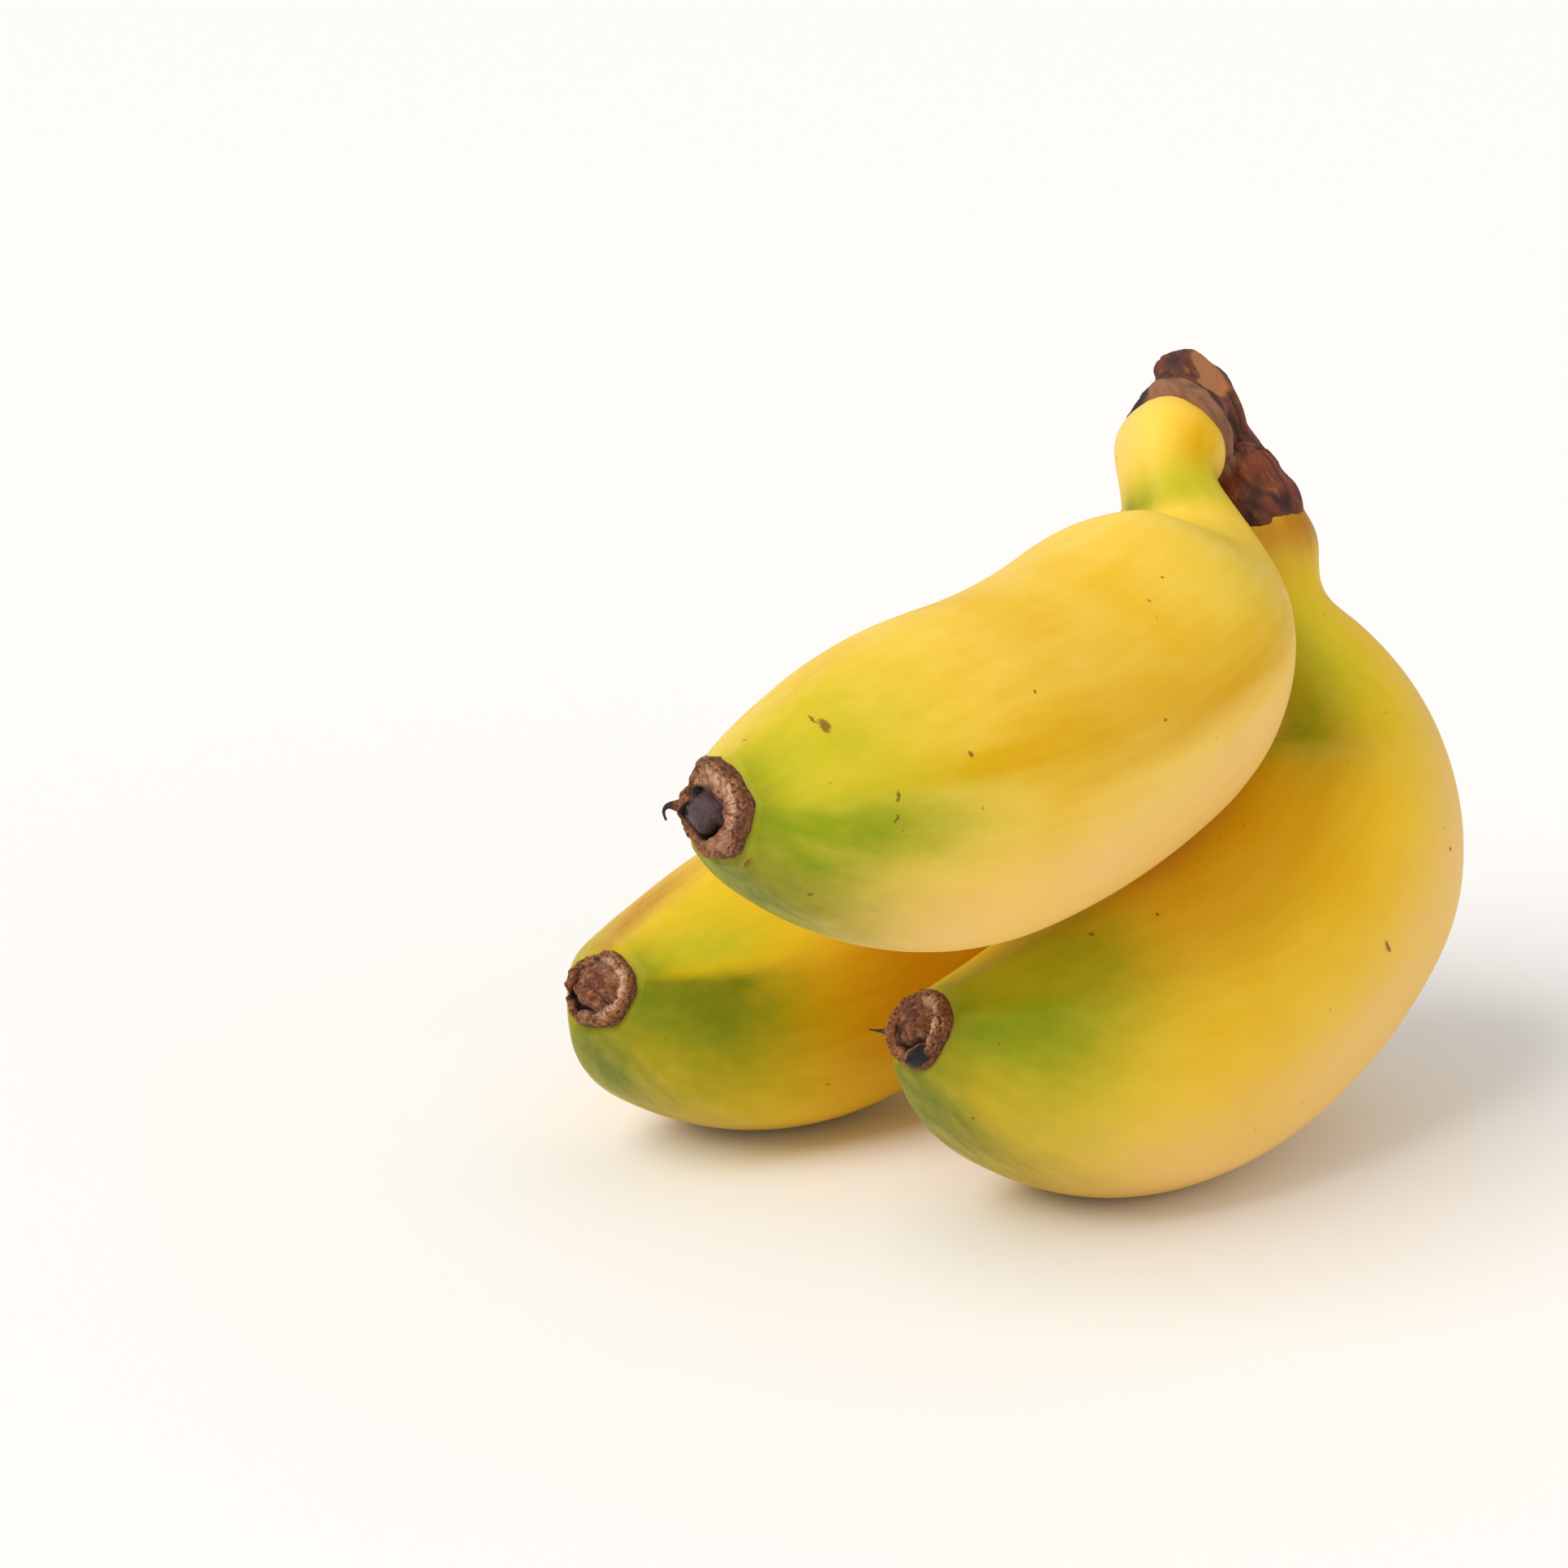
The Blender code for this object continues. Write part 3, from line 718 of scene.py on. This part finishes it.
def make_scar(name, made_of):
    """A blossom scar: a ball pressed into a corky cup with a torn rim, a ring and a lumpy dome."""
    finger, look = FINGERS[name], SCARS[name]
    deselect_all()
    bpy.ops.mesh.primitive_uv_sphere_add(segments=SCAR_SEGMENTS, ring_count=SCAR_RINGS, radius=1.0)
    piece = bpy.context.object
    ball = read_points(piece)
    down = np.arccos(np.clip(ball[:, 2], -1, 1)) / (np.pi / 2)
    angle = np.degrees(np.arctan2(ball[:, 1], ball[:, 0]))
    turned = np.radians(angle)
    top = down <= 1.0001
    share = np.where(top, down, 1.0)
    offset = Vector((list(FINGERS).index(name) * 3.1, 1.0, 2.0))
    flat_x, flat_y = share * np.cos(turned) * finger["scar"], share * np.sin(turned) * finger["scar"]
    edge_noise, tear, tear_too, grit, thread = (np.empty(len(share)) for _ in range(5))
    for i, (x, y) in enumerate(zip(flat_x, flat_y)):
        at = Vector((x, y, 0.0))
        way = Vector((math.cos(turned[i]), math.sin(turned[i]), 0.0))
        edge_noise[i] = noise.noise(way * RIM_WAVES + offset) + 0.5 * noise.noise(way * RIM_RIPPLES + offset)
        tear[i] = noise.noise(at / TEAR_SIZE + offset)
        tear_too[i] = noise.noise(at / TEAR_SIZE + offset * 3)
        grit[i] = noise.noise(at / GRIT_SIZE + offset)
        thread[i] = noise.noise(way * THREAD_WAVES + at / THREAD_SIZE + offset)
    rim = 1 + RIM_CORNERS * (five_sided(finger, angle) - 1) + RIM_TORN * edge_noise
    for at, wide, high in look["rim"]:
        rim += high * bell(angle_gap(angle, at) / wide)
    rim *= tip_squeeze(name, angle, 0.0)
    reach = share * finger["scar"] * SCAR_REACH * rim
    x, y = reach * np.cos(turned), reach * np.sin(turned)
    lean = math.radians(look["dome_at"])
    dome_x = look["dome_off"] * finger["scar"] * math.cos(lean)
    dome_y = look["dome_off"] * finger["scar"] * math.sin(lean)
    from_dome = np.hypot(x - dome_x, y - dome_y) / (look["dome_size"] * finger["scar"]) + tear * DOME_TORN
    torn = share + tear_too * RINGS_TORN
    dome = np.clip(1 - np.maximum(from_dome, 0) ** DOME_ROUNDS, 0, 1) * DOME_HEIGHT * (1 + DOME_LUMPY * tear_too)
    gap = 1 + GAP_DEPTH * bell(angle_gap(angle, look["gap"]) / GAP_WIDE)
    trench = bell((from_dome - TRENCH_AT) / TRENCH_WIDE) * TRENCH_DEPTH * gap
    ring = bell((torn - RING_AT) / RING_WIDE) * RING_HEIGHT
    edge = bell((torn - EDGE_AT) / EDGE_WIDE) * EDGE_HEIGHT * (1 + RIM_LUMPY * edge_noise)
    fall = smooth_step((share - FALL_FROM) / FALL_WIDE) * FALL_HEIGHT
    height = dome - trench + ring + edge - fall + SCAR_STANDS_OUT[name]
    threads = thread * THREAD_HEIGHT * smooth_step((share - THREADS_FROM) / THREADS_WIDE)
    height += tear * TEAR_HEIGHT + grit * GRIT_HEIGHT + threads
    under = np.clip(2 - down, 0, 1)
    wall = smooth_step((1 - under) / SEAT_WALL)
    seat_reach = finger["scar"] * np.clip(under / (1 - SEAT_WALL), 0, 1)
    x = np.where(top, x, seat_reach * np.cos(turned) * rim)
    y = np.where(top, y, seat_reach * np.sin(turned) * rim)
    z = np.where(top, height, height * (1 - wall) - SCAR_SEAT * wall)
    write_points(piece, np.stack((x, y, z), axis=-1))
    keep(piece, "share", np.where(top, torn, 1.0))
    keep(piece, "dome", np.where(top, np.clip((DOME_COLOUR_TO - from_dome) / DOME_COLOUR_WIDE, 0, 1), 0.0))
    # The trench round the dome is painted darker as shade, the deeper the darker.
    keep(piece, "low", np.clip((trench - SHADE_FROM) / SHADE_RUN, 0, 1) * top)
    keep(piece, "thread", thread)
    tan_at, tan_wide = look["crescent"]
    crescent = bell(angle_gap(angle, tan_at) / tan_wide) * bell((torn - CRESCENT_AT) / CRESCENT_WIDE)
    keep(piece, "crescent", crescent * top)
    keep(piece, "dark_dome", np.full(len(x), look["dome_dark"]))
    mould = np.zeros(len(x))
    for at, out, size in look["mould"]:
        spot_x, spot_y = out * math.cos(math.radians(at)), out * math.sin(math.radians(at))
        away = np.hypot(x / finger["scar"] - spot_x, y / finger["scar"] - spot_y) + MOULD_RAGGED * tear
        mould = np.maximum(mould, 1 - smooth_step((away / size - MOULD_FROM) / MOULD_RUN))
    keep(piece, "mould", mould * top)
    keep(piece, "flat", np.stack((x, y, z), axis=-1) / MM)
    piece.data.transform(frame_at(finger, finger["length"]))
    if name in THORN_AT:
        piece = join_thorn(piece, name)
    finish_piece(piece, f"blossom_scar_{name}", made_of, [f"blossom_end_{name}"])


# The dried thorn: its angle round the axis, length, hook, lean and turn, its radius at its foot and point, how
# fast it thins, how flat it is, where its bend starts, its seat on the rim, and how finely it is made.
THORN_AT = {"upper": 64, "right": 92}
THORN_LENGTH = {"upper": 0.0044, "right": 0.0036}
THORN_HOOK = {"upper": 120.0, "right": -14.0}
THORN_LEAN = {"upper": 62.0, "right": 66.0}
THORN_TURNED = {"upper": 90.0, "right": 0.0}
THORN_FOOT = 0.0017
THORN_POINT = 0.00012
THORN_THINS = 2.2
THORN_FLAT = 0.7
THORN_BENDS_FROM = 0.45
THORN_SEAT = 0.84
THORN_SUNK = 0.4
THORN_SIDES = 20
THORN_CUTS = 27
THORN_STEPS = 200
# The thorn's colour: the rim's, going dark from part of the way along.
THORN_SHARE, THORN_DARK_FROM, THORN_DARK_RUN, THORN_DARK = 0.80, 0.35, 0.3, 0.9


def join_thorn(scar, name):
    """The dried thorn on the scar's rim: a thin cone that widens at its foot and hooks over at its point."""
    finger, length = FINGERS[name], THORN_LENGTH[name]
    deselect_all()
    bpy.ops.mesh.primitive_cylinder_add(
        vertices=THORN_SIDES, radius=THORN_FOOT, depth=length, location=(0, 0, length / 2)
    )
    thorn = bpy.context.object
    cut_into_rings(thorn, THORN_CUTS)
    points = read_points(thorn)
    share = points[:, 2] / length
    thin = (THORN_POINT + (THORN_FOOT - THORN_POINT) * (1 - share) ** THORN_THINS) / THORN_FOOT
    fine = np.linspace(0, 1, THORN_STEPS)
    hook = np.radians(THORN_HOOK[name])
    turned = hook * smooth_step((share - THORN_BENDS_FROM) / (1 - THORN_BENDS_FROM))
    bend = hook * smooth_step((fine - THORN_BENDS_FROM) / (1 - THORN_BENDS_FROM))
    run_x = np.concatenate(([0], np.cumsum(np.sin(bend[1:]) / (THORN_STEPS - 1)))) * length
    run_z = np.concatenate(([0], np.cumsum(np.cos(bend[1:]) / (THORN_STEPS - 1)))) * length
    across_x, across_y = points[:, 0] * thin, points[:, 1] * thin * THORN_FLAT
    x = np.interp(share, fine, run_x) + across_x * np.cos(turned)
    z = np.interp(share, fine, run_z) - across_x * np.sin(turned)
    write_points(thorn, np.stack((x, across_y, z), axis=-1))
    keep(thorn, "share", np.full(len(x), THORN_SHARE))
    keep(thorn, "thread", np.zeros(len(x)))
    keep(thorn, "low", smooth_step((share - THORN_DARK_FROM) / THORN_DARK_RUN) * THORN_DARK)
    keep(thorn, "flat", np.stack((x, across_y, z), axis=-1) / MM)
    leaning = Matrix.Rotation(math.radians(THORN_LEAN[name]), 4, "Y")
    to_rim = Matrix.Translation((finger["scar"] * THORN_SEAT, 0, -THORN_FOOT * THORN_SUNK))
    around = Matrix.Rotation(math.radians(THORN_AT[name]), 4, "Z")
    turned_hook = Matrix.Rotation(math.radians(THORN_TURNED[name]), 4, "Z")
    thorn.data.transform(frame_at(finger, finger["length"]) @ around @ to_rim @ leaning @ turned_hook)
    deselect_all()
    thorn.select_set(True)
    scar.select_set(True)
    bpy.context.view_layer.objects.active = scar
    bpy.ops.object.join()
    return scar


# The cork's grain is about 0.9 mm and its pits 0.4 mm, by how many fit in a millimetre. Its dark, middle and light
# browns come with their places on the ramp, and damp says how much of the dome's gloss the mould has.
CORK_GRAIN = 1.1
CORK_PITS = 2.6
CORK_BROWNS = ((0.36, "#3A1A0D"), (0.50, "#7C4728"), (0.64, "#AE7048"))
DAMP = 0.35


def cork_material():
    """The dried scar of the flower: cork, rough and matt, pitted on its rim, with torn tan fibres inside it."""
    made, tree, shader = new_material("blossom_scar_cork", {"IOR": 1.45})
    flat = node(tree, "ShaderNodeAttribute", attribute_name="flat").outputs["Vector"]
    grain = node(
        tree, "ShaderNodeTexNoise", {"Vector": flat, "Scale": CORK_GRAIN, "Detail": 6.0, "Roughness": 0.7}
    )
    fine = node(
        tree, "ShaderNodeTexNoise", {"Vector": flat, "Scale": CORK_PITS, "Detail": 4.0, "Roughness": 0.7}
    ).outputs["Fac"]
    base = node(tree, "ShaderNodeValToRGB", {"Fac": grain.outputs["Fac"]})
    colour = brown_ramp(base, CORK_BROWNS)
    amounts = {}
    for kind in ("share", "thread", "dome", "low", "crescent", "dark_dome", "mould"):
        amounts[kind] = node(tree, "ShaderNodeAttribute", attribute_name=kind).outputs["Fac"]
    for kind, source, low, high, at_low, at_high in (
        ("threads", amounts["thread"], -0.30, 0.10, 0.30, 1.0),
        ("rim", amounts["share"], 0.80, 0.90, 0.0, 0.75),
        ("pits", fine, 0.46, 0.53, 1.0, 0.0),
        ("cracks", fine, 0.35, 0.45, 0.85, 0.0),
        ("lip", amounts["share"], 0.96, 1.02, 0.0, 0.8),
    ):
        amounts[kind] = node(
            tree,
            "ShaderNodeMapRange",
            {"Value": source, "From Min": low, "From Max": high, "To Min": at_low, "To Max": at_high},
        ).outputs["Result"]
    for kind, one, other in (
        ("tan", amounts["crescent"], amounts["threads"]),
        ("speckled", amounts["rim"], amounts["pits"]),
        ("dark", amounts["dome"], amounts["dark_dome"]),
        ("damp", amounts["mould"], DAMP),
    ):
        amounts[kind] = node(tree, "ShaderNodeMath", {0: one, 1: other}, operation="MULTIPLY").outputs[0]
    for kind, code in (
        ("tan", "#DDB08C"),
        ("rim", "#AE744A"),
        ("speckled", "#2C130B"),
        ("lip", "#6A3620"),
        ("cracks", "#2A130D"),
        ("dark", "#4A3435"),
        # low: painted shade in the scar's trench, and the thorn's own dark point.
        ("low", "#24110C"),
        ("mould", "#0E0C12"),
    ):
        layer = node(tree, "ShaderNodeMix", {0: amounts[kind], 6: colour, 7: linear(code)}, data_type="RGBA")
        colour = layer.outputs[2]
    tree.links.new(colour, shader.inputs["Base Color"])
    glossy = node(tree, "ShaderNodeMath", {0: amounts["dark"], 1: amounts["damp"]}, operation="MAXIMUM")
    gloss = node(tree, "ShaderNodeMapRange", {"Value": glossy.outputs[0], "To Min": 0.82, "To Max": 0.26})
    tree.links.new(gloss.outputs["Result"], shader.inputs["Roughness"])
    bump = node(tree, "ShaderNodeBump", {"Strength": 1.0, "Distance": 0.00025, "Height": fine})
    tree.links.new(bump.outputs["Normal"], shader.inputs["Normal"])
    return made


# The crown: the strip that held the fingers to the bunch's stem, dried and torn.
CROWN_STRIP = (
    ((0.0185, 0.0380, 0.0812), 0.0034),
    ((0.0201, 0.0387, 0.0782), 0.0046),
    ((0.0221, 0.0388, 0.0738), 0.0041),
    ((0.0246, 0.0374, 0.0700), 0.0042),
    ((0.0265, 0.0356, 0.0674), 0.0042),
)
LUMP_SPACING = 0.0012
COLLAR_WALL = 0.0006
COLLAR_FROM = {"upper": -0.0012, "right": -0.0002, "left": 0.0006}
COLLAR_RUN = 0.0040
COLLAR_STEPS = 6
CROWN_VOXEL = 0.00032
CROWN_EASED = 0.5
CROWN_EASED_TIMES = 6
CUT_AT = Vector((0.0206, 0.0363, 0.0821))
CUT_FACES = Vector((0.70, -0.36, 0.62)).normalized()
CUT_RADIUS = 0.0026
CUT_EDGE = 0.0014
DARK_TOP = (0.0168, 0.0362, 0.0838)
DARK_REACH = 0.0016

# The crown's lumps, creases and fibres: their size across and along the grain, and how far they move the skin.
CROWN_LUMPS = (0.0030, 0.0050)
CROWN_CREASES = (0.0036, 0.0070)
CROWN_FIBRES = (0.0008, 0.0030)
CROWN_LUMP_HEIGHT = 0.0007
CREASE_DEPTH = 0.0007
CREASE_SHARP = 6
FIBRE_HEIGHT = 0.00020

# How far the fold and the sliver reach, how much they calm the skin, and how far round each stalk it is calm too.
# The skin is also calm from a little below the knife's cut, whose colour starts at its plane.
FOLD_REACH = 0.0012
SLIVER_REACH = 0.0006
HELD_FROM = 0.0050
HELD_RUN = 0.0025
HELD_LEAST = 0.35
FOLD_CALM, SLIVER_CALM, FOLD_FILLS = 0.5, 0.8, 0.6
CALM_BELOW, CALM_RUN = 0.0012, 0.0010
CUT_SHOWS_BELOW, CUT_SHOWS_RUN = 0.0001, 0.0003

# The fold that laps the upper stalk, and the dried sliver at its left, as places on the stalk:
# distance from the root in mm, angle round it, height over it in mm and radius in mm.
FOLD = (
    (1.2, 16, 0.2, 0.9),
    (1.6, 345, 0.3, 1.3),
    (2.1, 318, 0.4, 1.5),
    (2.9, 292, 0.4, 1.5),
    (3.8, 268, 0.3, 1.3),
    (4.4, 246, 0.2, 1.1),
    (4.5, 222, 0.1, 1.0),
    (4.4, 198, 0.1, 0.9),
)
SLIVER = (
    (1.2, 2, 0.5, 0.6),
    (2.4, 12, 0.4, 0.5),
    (3.4, 22, 0.2, 0.45),
    (4.3, 31, 0.1, 0.45),
)


def on_stalk(name, along, angle, height):
    """A point over a finger's skin, from its distance from the root and its height in mm, and its angle."""
    finger = FINGERS[name]
    radius = float(radius_at(finger, np.array([along * MM]))[0]) + height * MM
    turned = math.radians(angle)
    return frame_at(finger, along * MM) @ Vector((math.cos(turned) * radius, math.sin(turned) * radius, 0))


def crown_lumps():
    """The round lumps that the crown is made from: strip, collars, the fold over the upper stalk, and a sliver."""
    lumps = []

    def run(start, end):
        (from_point, from_radius), (to_point, to_radius) = start, end
        from_point, to_point = Vector(from_point), Vector(to_point)
        spacing = min(LUMP_SPACING, from_radius * 0.6)
        count = max(1, math.ceil((to_point - from_point).length / spacing))
        for i in range(count + 1):
            share = i / count
            lumps.append((from_point.lerp(to_point, share), from_radius + (to_radius - from_radius) * share))

    for start, end in zip(CROWN_STRIP, CROWN_STRIP[1:]):
        run(start, end)
    for name, finger in FINGERS.items():
        front = finger["collar"] - COLLAR_FROM[name]
        for s in np.linspace(front, front - COLLAR_RUN, COLLAR_STEPS):
            centre = frame_at(finger, s).translation
            lumps.append((centre, float(radius_at(finger, np.array([s]))[0]) + COLLAR_WALL))
        point, radius = min(CROWN_STRIP, key=lambda entry: (Vector(entry[0]) - centre).length)
        run((centre, lumps[-1][1]), (point, radius))
    for path in (FOLD, SLIVER):
        places = [(on_stalk("upper", along, angle, height), radius * MM) for along, angle, height, radius in path]
        for start, end in zip(places, places[1:]):
            run(start, end)
    return lumps


def make_crown(made_of):
    """The crown: lumps made one skin, cut off flat by the knife, and wrinkled along its fibres."""
    deselect_all()
    lumps = crown_lumps()
    bpy.ops.mesh.primitive_ico_sphere_add(subdivisions=3, radius=lumps[0][1], location=(0, 0, 0))
    piece = bpy.context.object
    piece.data.transform(Matrix.Translation(lumps[0][0]))
    bpy.ops.object.mode_set(mode="EDIT")
    for point, radius in lumps[1:]:
        bpy.ops.mesh.primitive_ico_sphere_add(subdivisions=3, radius=radius, location=point)
    bpy.ops.object.mode_set(mode="OBJECT")
    joined = piece.modifiers.new("one skin", "REMESH")
    joined.mode = "VOXEL"
    joined.voxel_size = CROWN_VOXEL
    eased = piece.modifiers.new("eased", "SMOOTH")
    eased.factor = CROWN_EASED
    eased.iterations = CROWN_EASED_TIMES
    for modifier in ("one skin", "eased"):
        bpy.ops.object.modifier_apply(modifier=modifier)
    wrinkle_crown(piece)
    finish_piece(piece, "crown_dried", made_of, ["crown"])


def wrinkle_crown(piece):
    """Moves the crown's skin in and out along its fibres, flattens the knife's cut, and says where each is."""
    points = read_points(piece)
    normals = np.empty(len(points) * 3)
    piece.data.vertices.foreach_get("normal", normals)
    normals = normals.reshape(-1, 3)
    grain = (Vector(CROWN_STRIP[-1][0]) - Vector(CROWN_STRIP[0][0])).normalized()
    to_grain = grain.rotation_difference(Vector((0, 0, 1)))
    stretched = np.array([tuple(to_grain @ Vector(p)) for p in points])
    crease, fibre, lump = np.empty(len(points)), np.empty(len(points)), np.empty(len(points))
    for i, (x, y, z) in enumerate(stretched):
        at_lump, at_crease, at_fibre = (
            Vector((x / across, y / across, z / along))
            for across, along in (CROWN_LUMPS, CROWN_CREASES, CROWN_FIBRES)
        )
        lump[i] = noise.noise(at_lump)
        crease[i] = 1 - abs(noise.noise(at_crease + Vector((5, 5, 5)))) * CREASE_SHARP
        fibre[i] = noise.noise(at_fibre)
    crease = np.clip(crease, 0, 1)
    faces = np.array(CUT_FACES)
    height = (points - np.array(CUT_AT)) @ faces
    aside = np.linalg.norm(points - np.array(CUT_AT) - height[:, None] * faces, axis=1)
    near_cut = 1 - smooth_step((aside - CUT_RADIUS) / CUT_EDGE)
    calm = 1 - near_cut * smooth_step((height + CALM_BELOW) / CALM_RUN)
    fold, sliver = (
        1 - smooth_step((away_from(points, [on_stalk("upper", *place[:3]) for place in path]) - reach) / reach)
        for path, reach in ((FOLD, FOLD_REACH), (SLIVER, SLIVER_REACH))
    )
    moved = lump * CROWN_LUMP_HEIGHT - crease ** 2 * CREASE_DEPTH + fibre * FIBRE_HEIGHT
    fronts = [frame_at(finger, finger["collar"]).translation for finger in FINGERS.values()]
    from_front = np.min([np.linalg.norm(points - np.array(front), axis=1) for front in fronts], axis=0)
    held = smooth_step((from_front - HELD_FROM) / HELD_RUN)
    moved *= calm * (1 - FOLD_CALM * fold) * (1 - SLIVER_CALM * sliver)
    moved *= HELD_LEAST + (1 - HELD_LEAST) * held
    points = points + normals * moved[:, None]
    height = (points - np.array(CUT_AT)) @ faces
    points -= (np.maximum(height, 0.0) * near_cut)[:, None] * faces
    write_points(piece, points)
    # The creases' depth, which the material paints dark as shade.
    keep(piece, "crease", crease * calm * (1 - FOLD_FILLS * fold))
    keep(piece, "cut", near_cut * smooth_step((height + CUT_SHOWS_BELOW) / CUT_SHOWS_RUN))
    keep(piece, "fold", fold)
    top = np.linalg.norm(points - np.array(DARK_TOP), axis=1)
    keep(piece, "dark", np.maximum(bell(top / DARK_REACH), sliver))
    keep(piece, "grain", stretched / MM)


def away_from(points, line):
    """How far each point is from a line of straight pieces."""
    nearest = np.full(len(points), 1.0)
    for start, end in zip(line, line[1:]):
        start, run = np.array(start), np.array(end - start)
        share = np.clip((points - start) @ run / (run @ run), 0, 1)
        nearest = np.minimum(nearest, np.linalg.norm(points - start - share[:, None] * run, axis=1))
    return nearest


# The crown's fibres are about 0.8 mm wide and 3 mm long, coarser than real ones, and its blotches 3 mm, by how
# many fit in a millimetre. Its browns come with their places on the ramp.
CROWN_FIBRES_PER_MM = (1.3, 1.3, 0.35)
CROWN_BLOTCHES = 0.34
CROWN_BROWNS = ((0.38, "#421B0E"), (0.62, "#7C3818"))
# How strongly the creases are painted dark, as shade.
CREASE_SHADE_STRENGTH = 0.7


def crown_material():
    """The dried crown: shrunk fibrous plant tissue, matt, with shade painted near black in its creases, tan where
    it was cut.
    """
    made, tree, shader = new_material("dried_banana_crown", {"IOR": 1.45, "Roughness": 0.72})
    amounts = {}
    for kind in ("fold", "crease", "dark", "cut"):
        amounts[kind] = node(tree, "ShaderNodeAttribute", attribute_name=kind).outputs["Fac"]
    grain = node(tree, "ShaderNodeAttribute", attribute_name="grain").outputs["Vector"]
    stretched = node(tree, "ShaderNodeVectorMath", {0: grain, 1: CROWN_FIBRES_PER_MM}, operation="MULTIPLY")
    fibres = node(
        tree,
        "ShaderNodeTexNoise",
        {"Vector": stretched.outputs[0], "Scale": 1.0, "Detail": 5.0, "Roughness": 0.65},
    ).outputs["Fac"]
    blotch = node(tree, "ShaderNodeTexNoise", {"Vector": grain, "Scale": CROWN_BLOTCHES, "Detail": 4.0})
    base = node(tree, "ShaderNodeValToRGB", {"Fac": blotch.outputs["Fac"]})
    colour = brown_ramp(base, CROWN_BROWNS)
    for kind, low, high, at_low, at_high in (
        ("light fibres", 0.52, 0.70, 0.0, 0.6), ("dark fibres", 0.30, 0.46, 0.6, 0.0)
    ):
        amounts[kind] = node(
            tree,
            "ShaderNodeMapRange",
            {"Value": fibres, "From Min": low, "From Max": high, "To Min": at_low, "To Max": at_high},
        ).outputs["Result"]
    amounts["crease_shade"] = node(
        tree, "ShaderNodeMath", {0: amounts["crease"], 1: CREASE_SHADE_STRENGTH}, operation="MULTIPLY"
    ).outputs[0]
    for kind, code in (
        ("fold", "#8E6044"),
        ("light fibres", "#9C6440"),
        ("dark fibres", "#3A1B10"),
        # Painted shade in the creases.
        ("crease_shade", "#28130E"),
        ("cut", "#B0703F"),
        ("dark", "#2A1A1C"),
    ):
        layer = node(tree, "ShaderNodeMix", {0: amounts[kind], 6: colour, 7: linear(code)}, data_type="RGBA")
        colour = layer.outputs[2]
    tree.links.new(colour, shader.inputs["Base Color"])
    bump = node(tree, "ShaderNodeBump", {"Strength": 0.7, "Distance": 0.00025, "Height": fibres})
    tree.links.new(bump.outputs["Normal"], shader.inputs["Normal"])
    return made


# The camera looks along +Y and down. The photograph's sides are equal.
LOOKS_DOWN = 16.0
LOOKS_AT = Vector((-0.0267, 0.01866, 0.0392))
CAMERA_AWAY = 0.500
CAMERA_LENS = 103.4
CAMERA_SENSOR = 36.0
CAMERA_NEAR = 0.01


def make_camera():
    """The camera at the photograph's angle."""
    down = math.radians(LOOKS_DOWN)
    data = bpy.data.cameras.new("photograph_view")
    data.lens = CAMERA_LENS
    data.sensor_width = CAMERA_SENSOR
    data.sensor_fit = "HORIZONTAL"
    data.clip_start = CAMERA_NEAR
    camera = bpy.data.objects.new("photograph_view", data)
    bpy.context.scene.collection.objects.link(camera)
    camera.location = LOOKS_AT - Vector((0, math.cos(down), -math.sin(down))) * CAMERA_AWAY
    camera.rotation_euler = (math.pi / 2 - down, 0, 0)
    bpy.context.scene.camera = camera


FLOOR_SIZE = 60.0
FLOOR_COLOUR = "#F6F5F3"
FLOOR_ROUGHNESS = 0.9

# Soft lights: name, direction it shines from, strength, how wide it looks in degrees, and its colour.
LIGHTS = (
    ("soft_key_left", (-0.60, -0.40, 0.75), 2.0, 40, "#FFFCF8"),
    ("soft_fill_front", (0.55, -0.80, 0.25), 0.45, 60, "#FFFFFF"),
)
SKY = "#FFFFFF"
SKY_STRENGTH = 0.60


def make_studio():
    """A plain pale floor and soft studio light."""
    deselect_all()
    bpy.ops.mesh.primitive_plane_add(size=FLOOR_SIZE, location=(0, 0, 0))
    floor = bpy.context.object
    floor.name = "floor"
    matt = {"Base Color": linear(FLOOR_COLOUR), "Roughness": FLOOR_ROUGHNESS}
    floor.data.materials.append(new_material("pale_floor", matt)[0])
    for name, place, strength, width, code in LIGHTS:
        data = bpy.data.lights.new(name, "SUN")
        data.angle = math.radians(width)
        data.energy = strength
        data.color = linear(code)[:3]
        lamp = bpy.data.objects.new(name, data)
        bpy.context.scene.collection.objects.link(lamp)
        lamp.location = place
        lamp.rotation_euler = (-Vector(place)).to_track_quat("-Z", "Y").to_euler()
    bpy.context.scene.view_settings.view_transform = "Standard"
    world = bpy.data.worlds.new("studio")
    bpy.context.scene.world = world
    world.use_nodes = True
    world.node_tree.nodes["Background"].inputs["Color"].default_value = linear(SKY)
    world.node_tree.nodes["Background"].inputs["Strength"].default_value = SKY_STRENGTH


make_camera()
for finger_name in FINGERS:
    make_finger(finger_name, peel_material(finger_name))
cork = cork_material()
for finger_name in FINGERS:
    make_scar(finger_name, cork)
make_crown(crown_material())
make_studio()
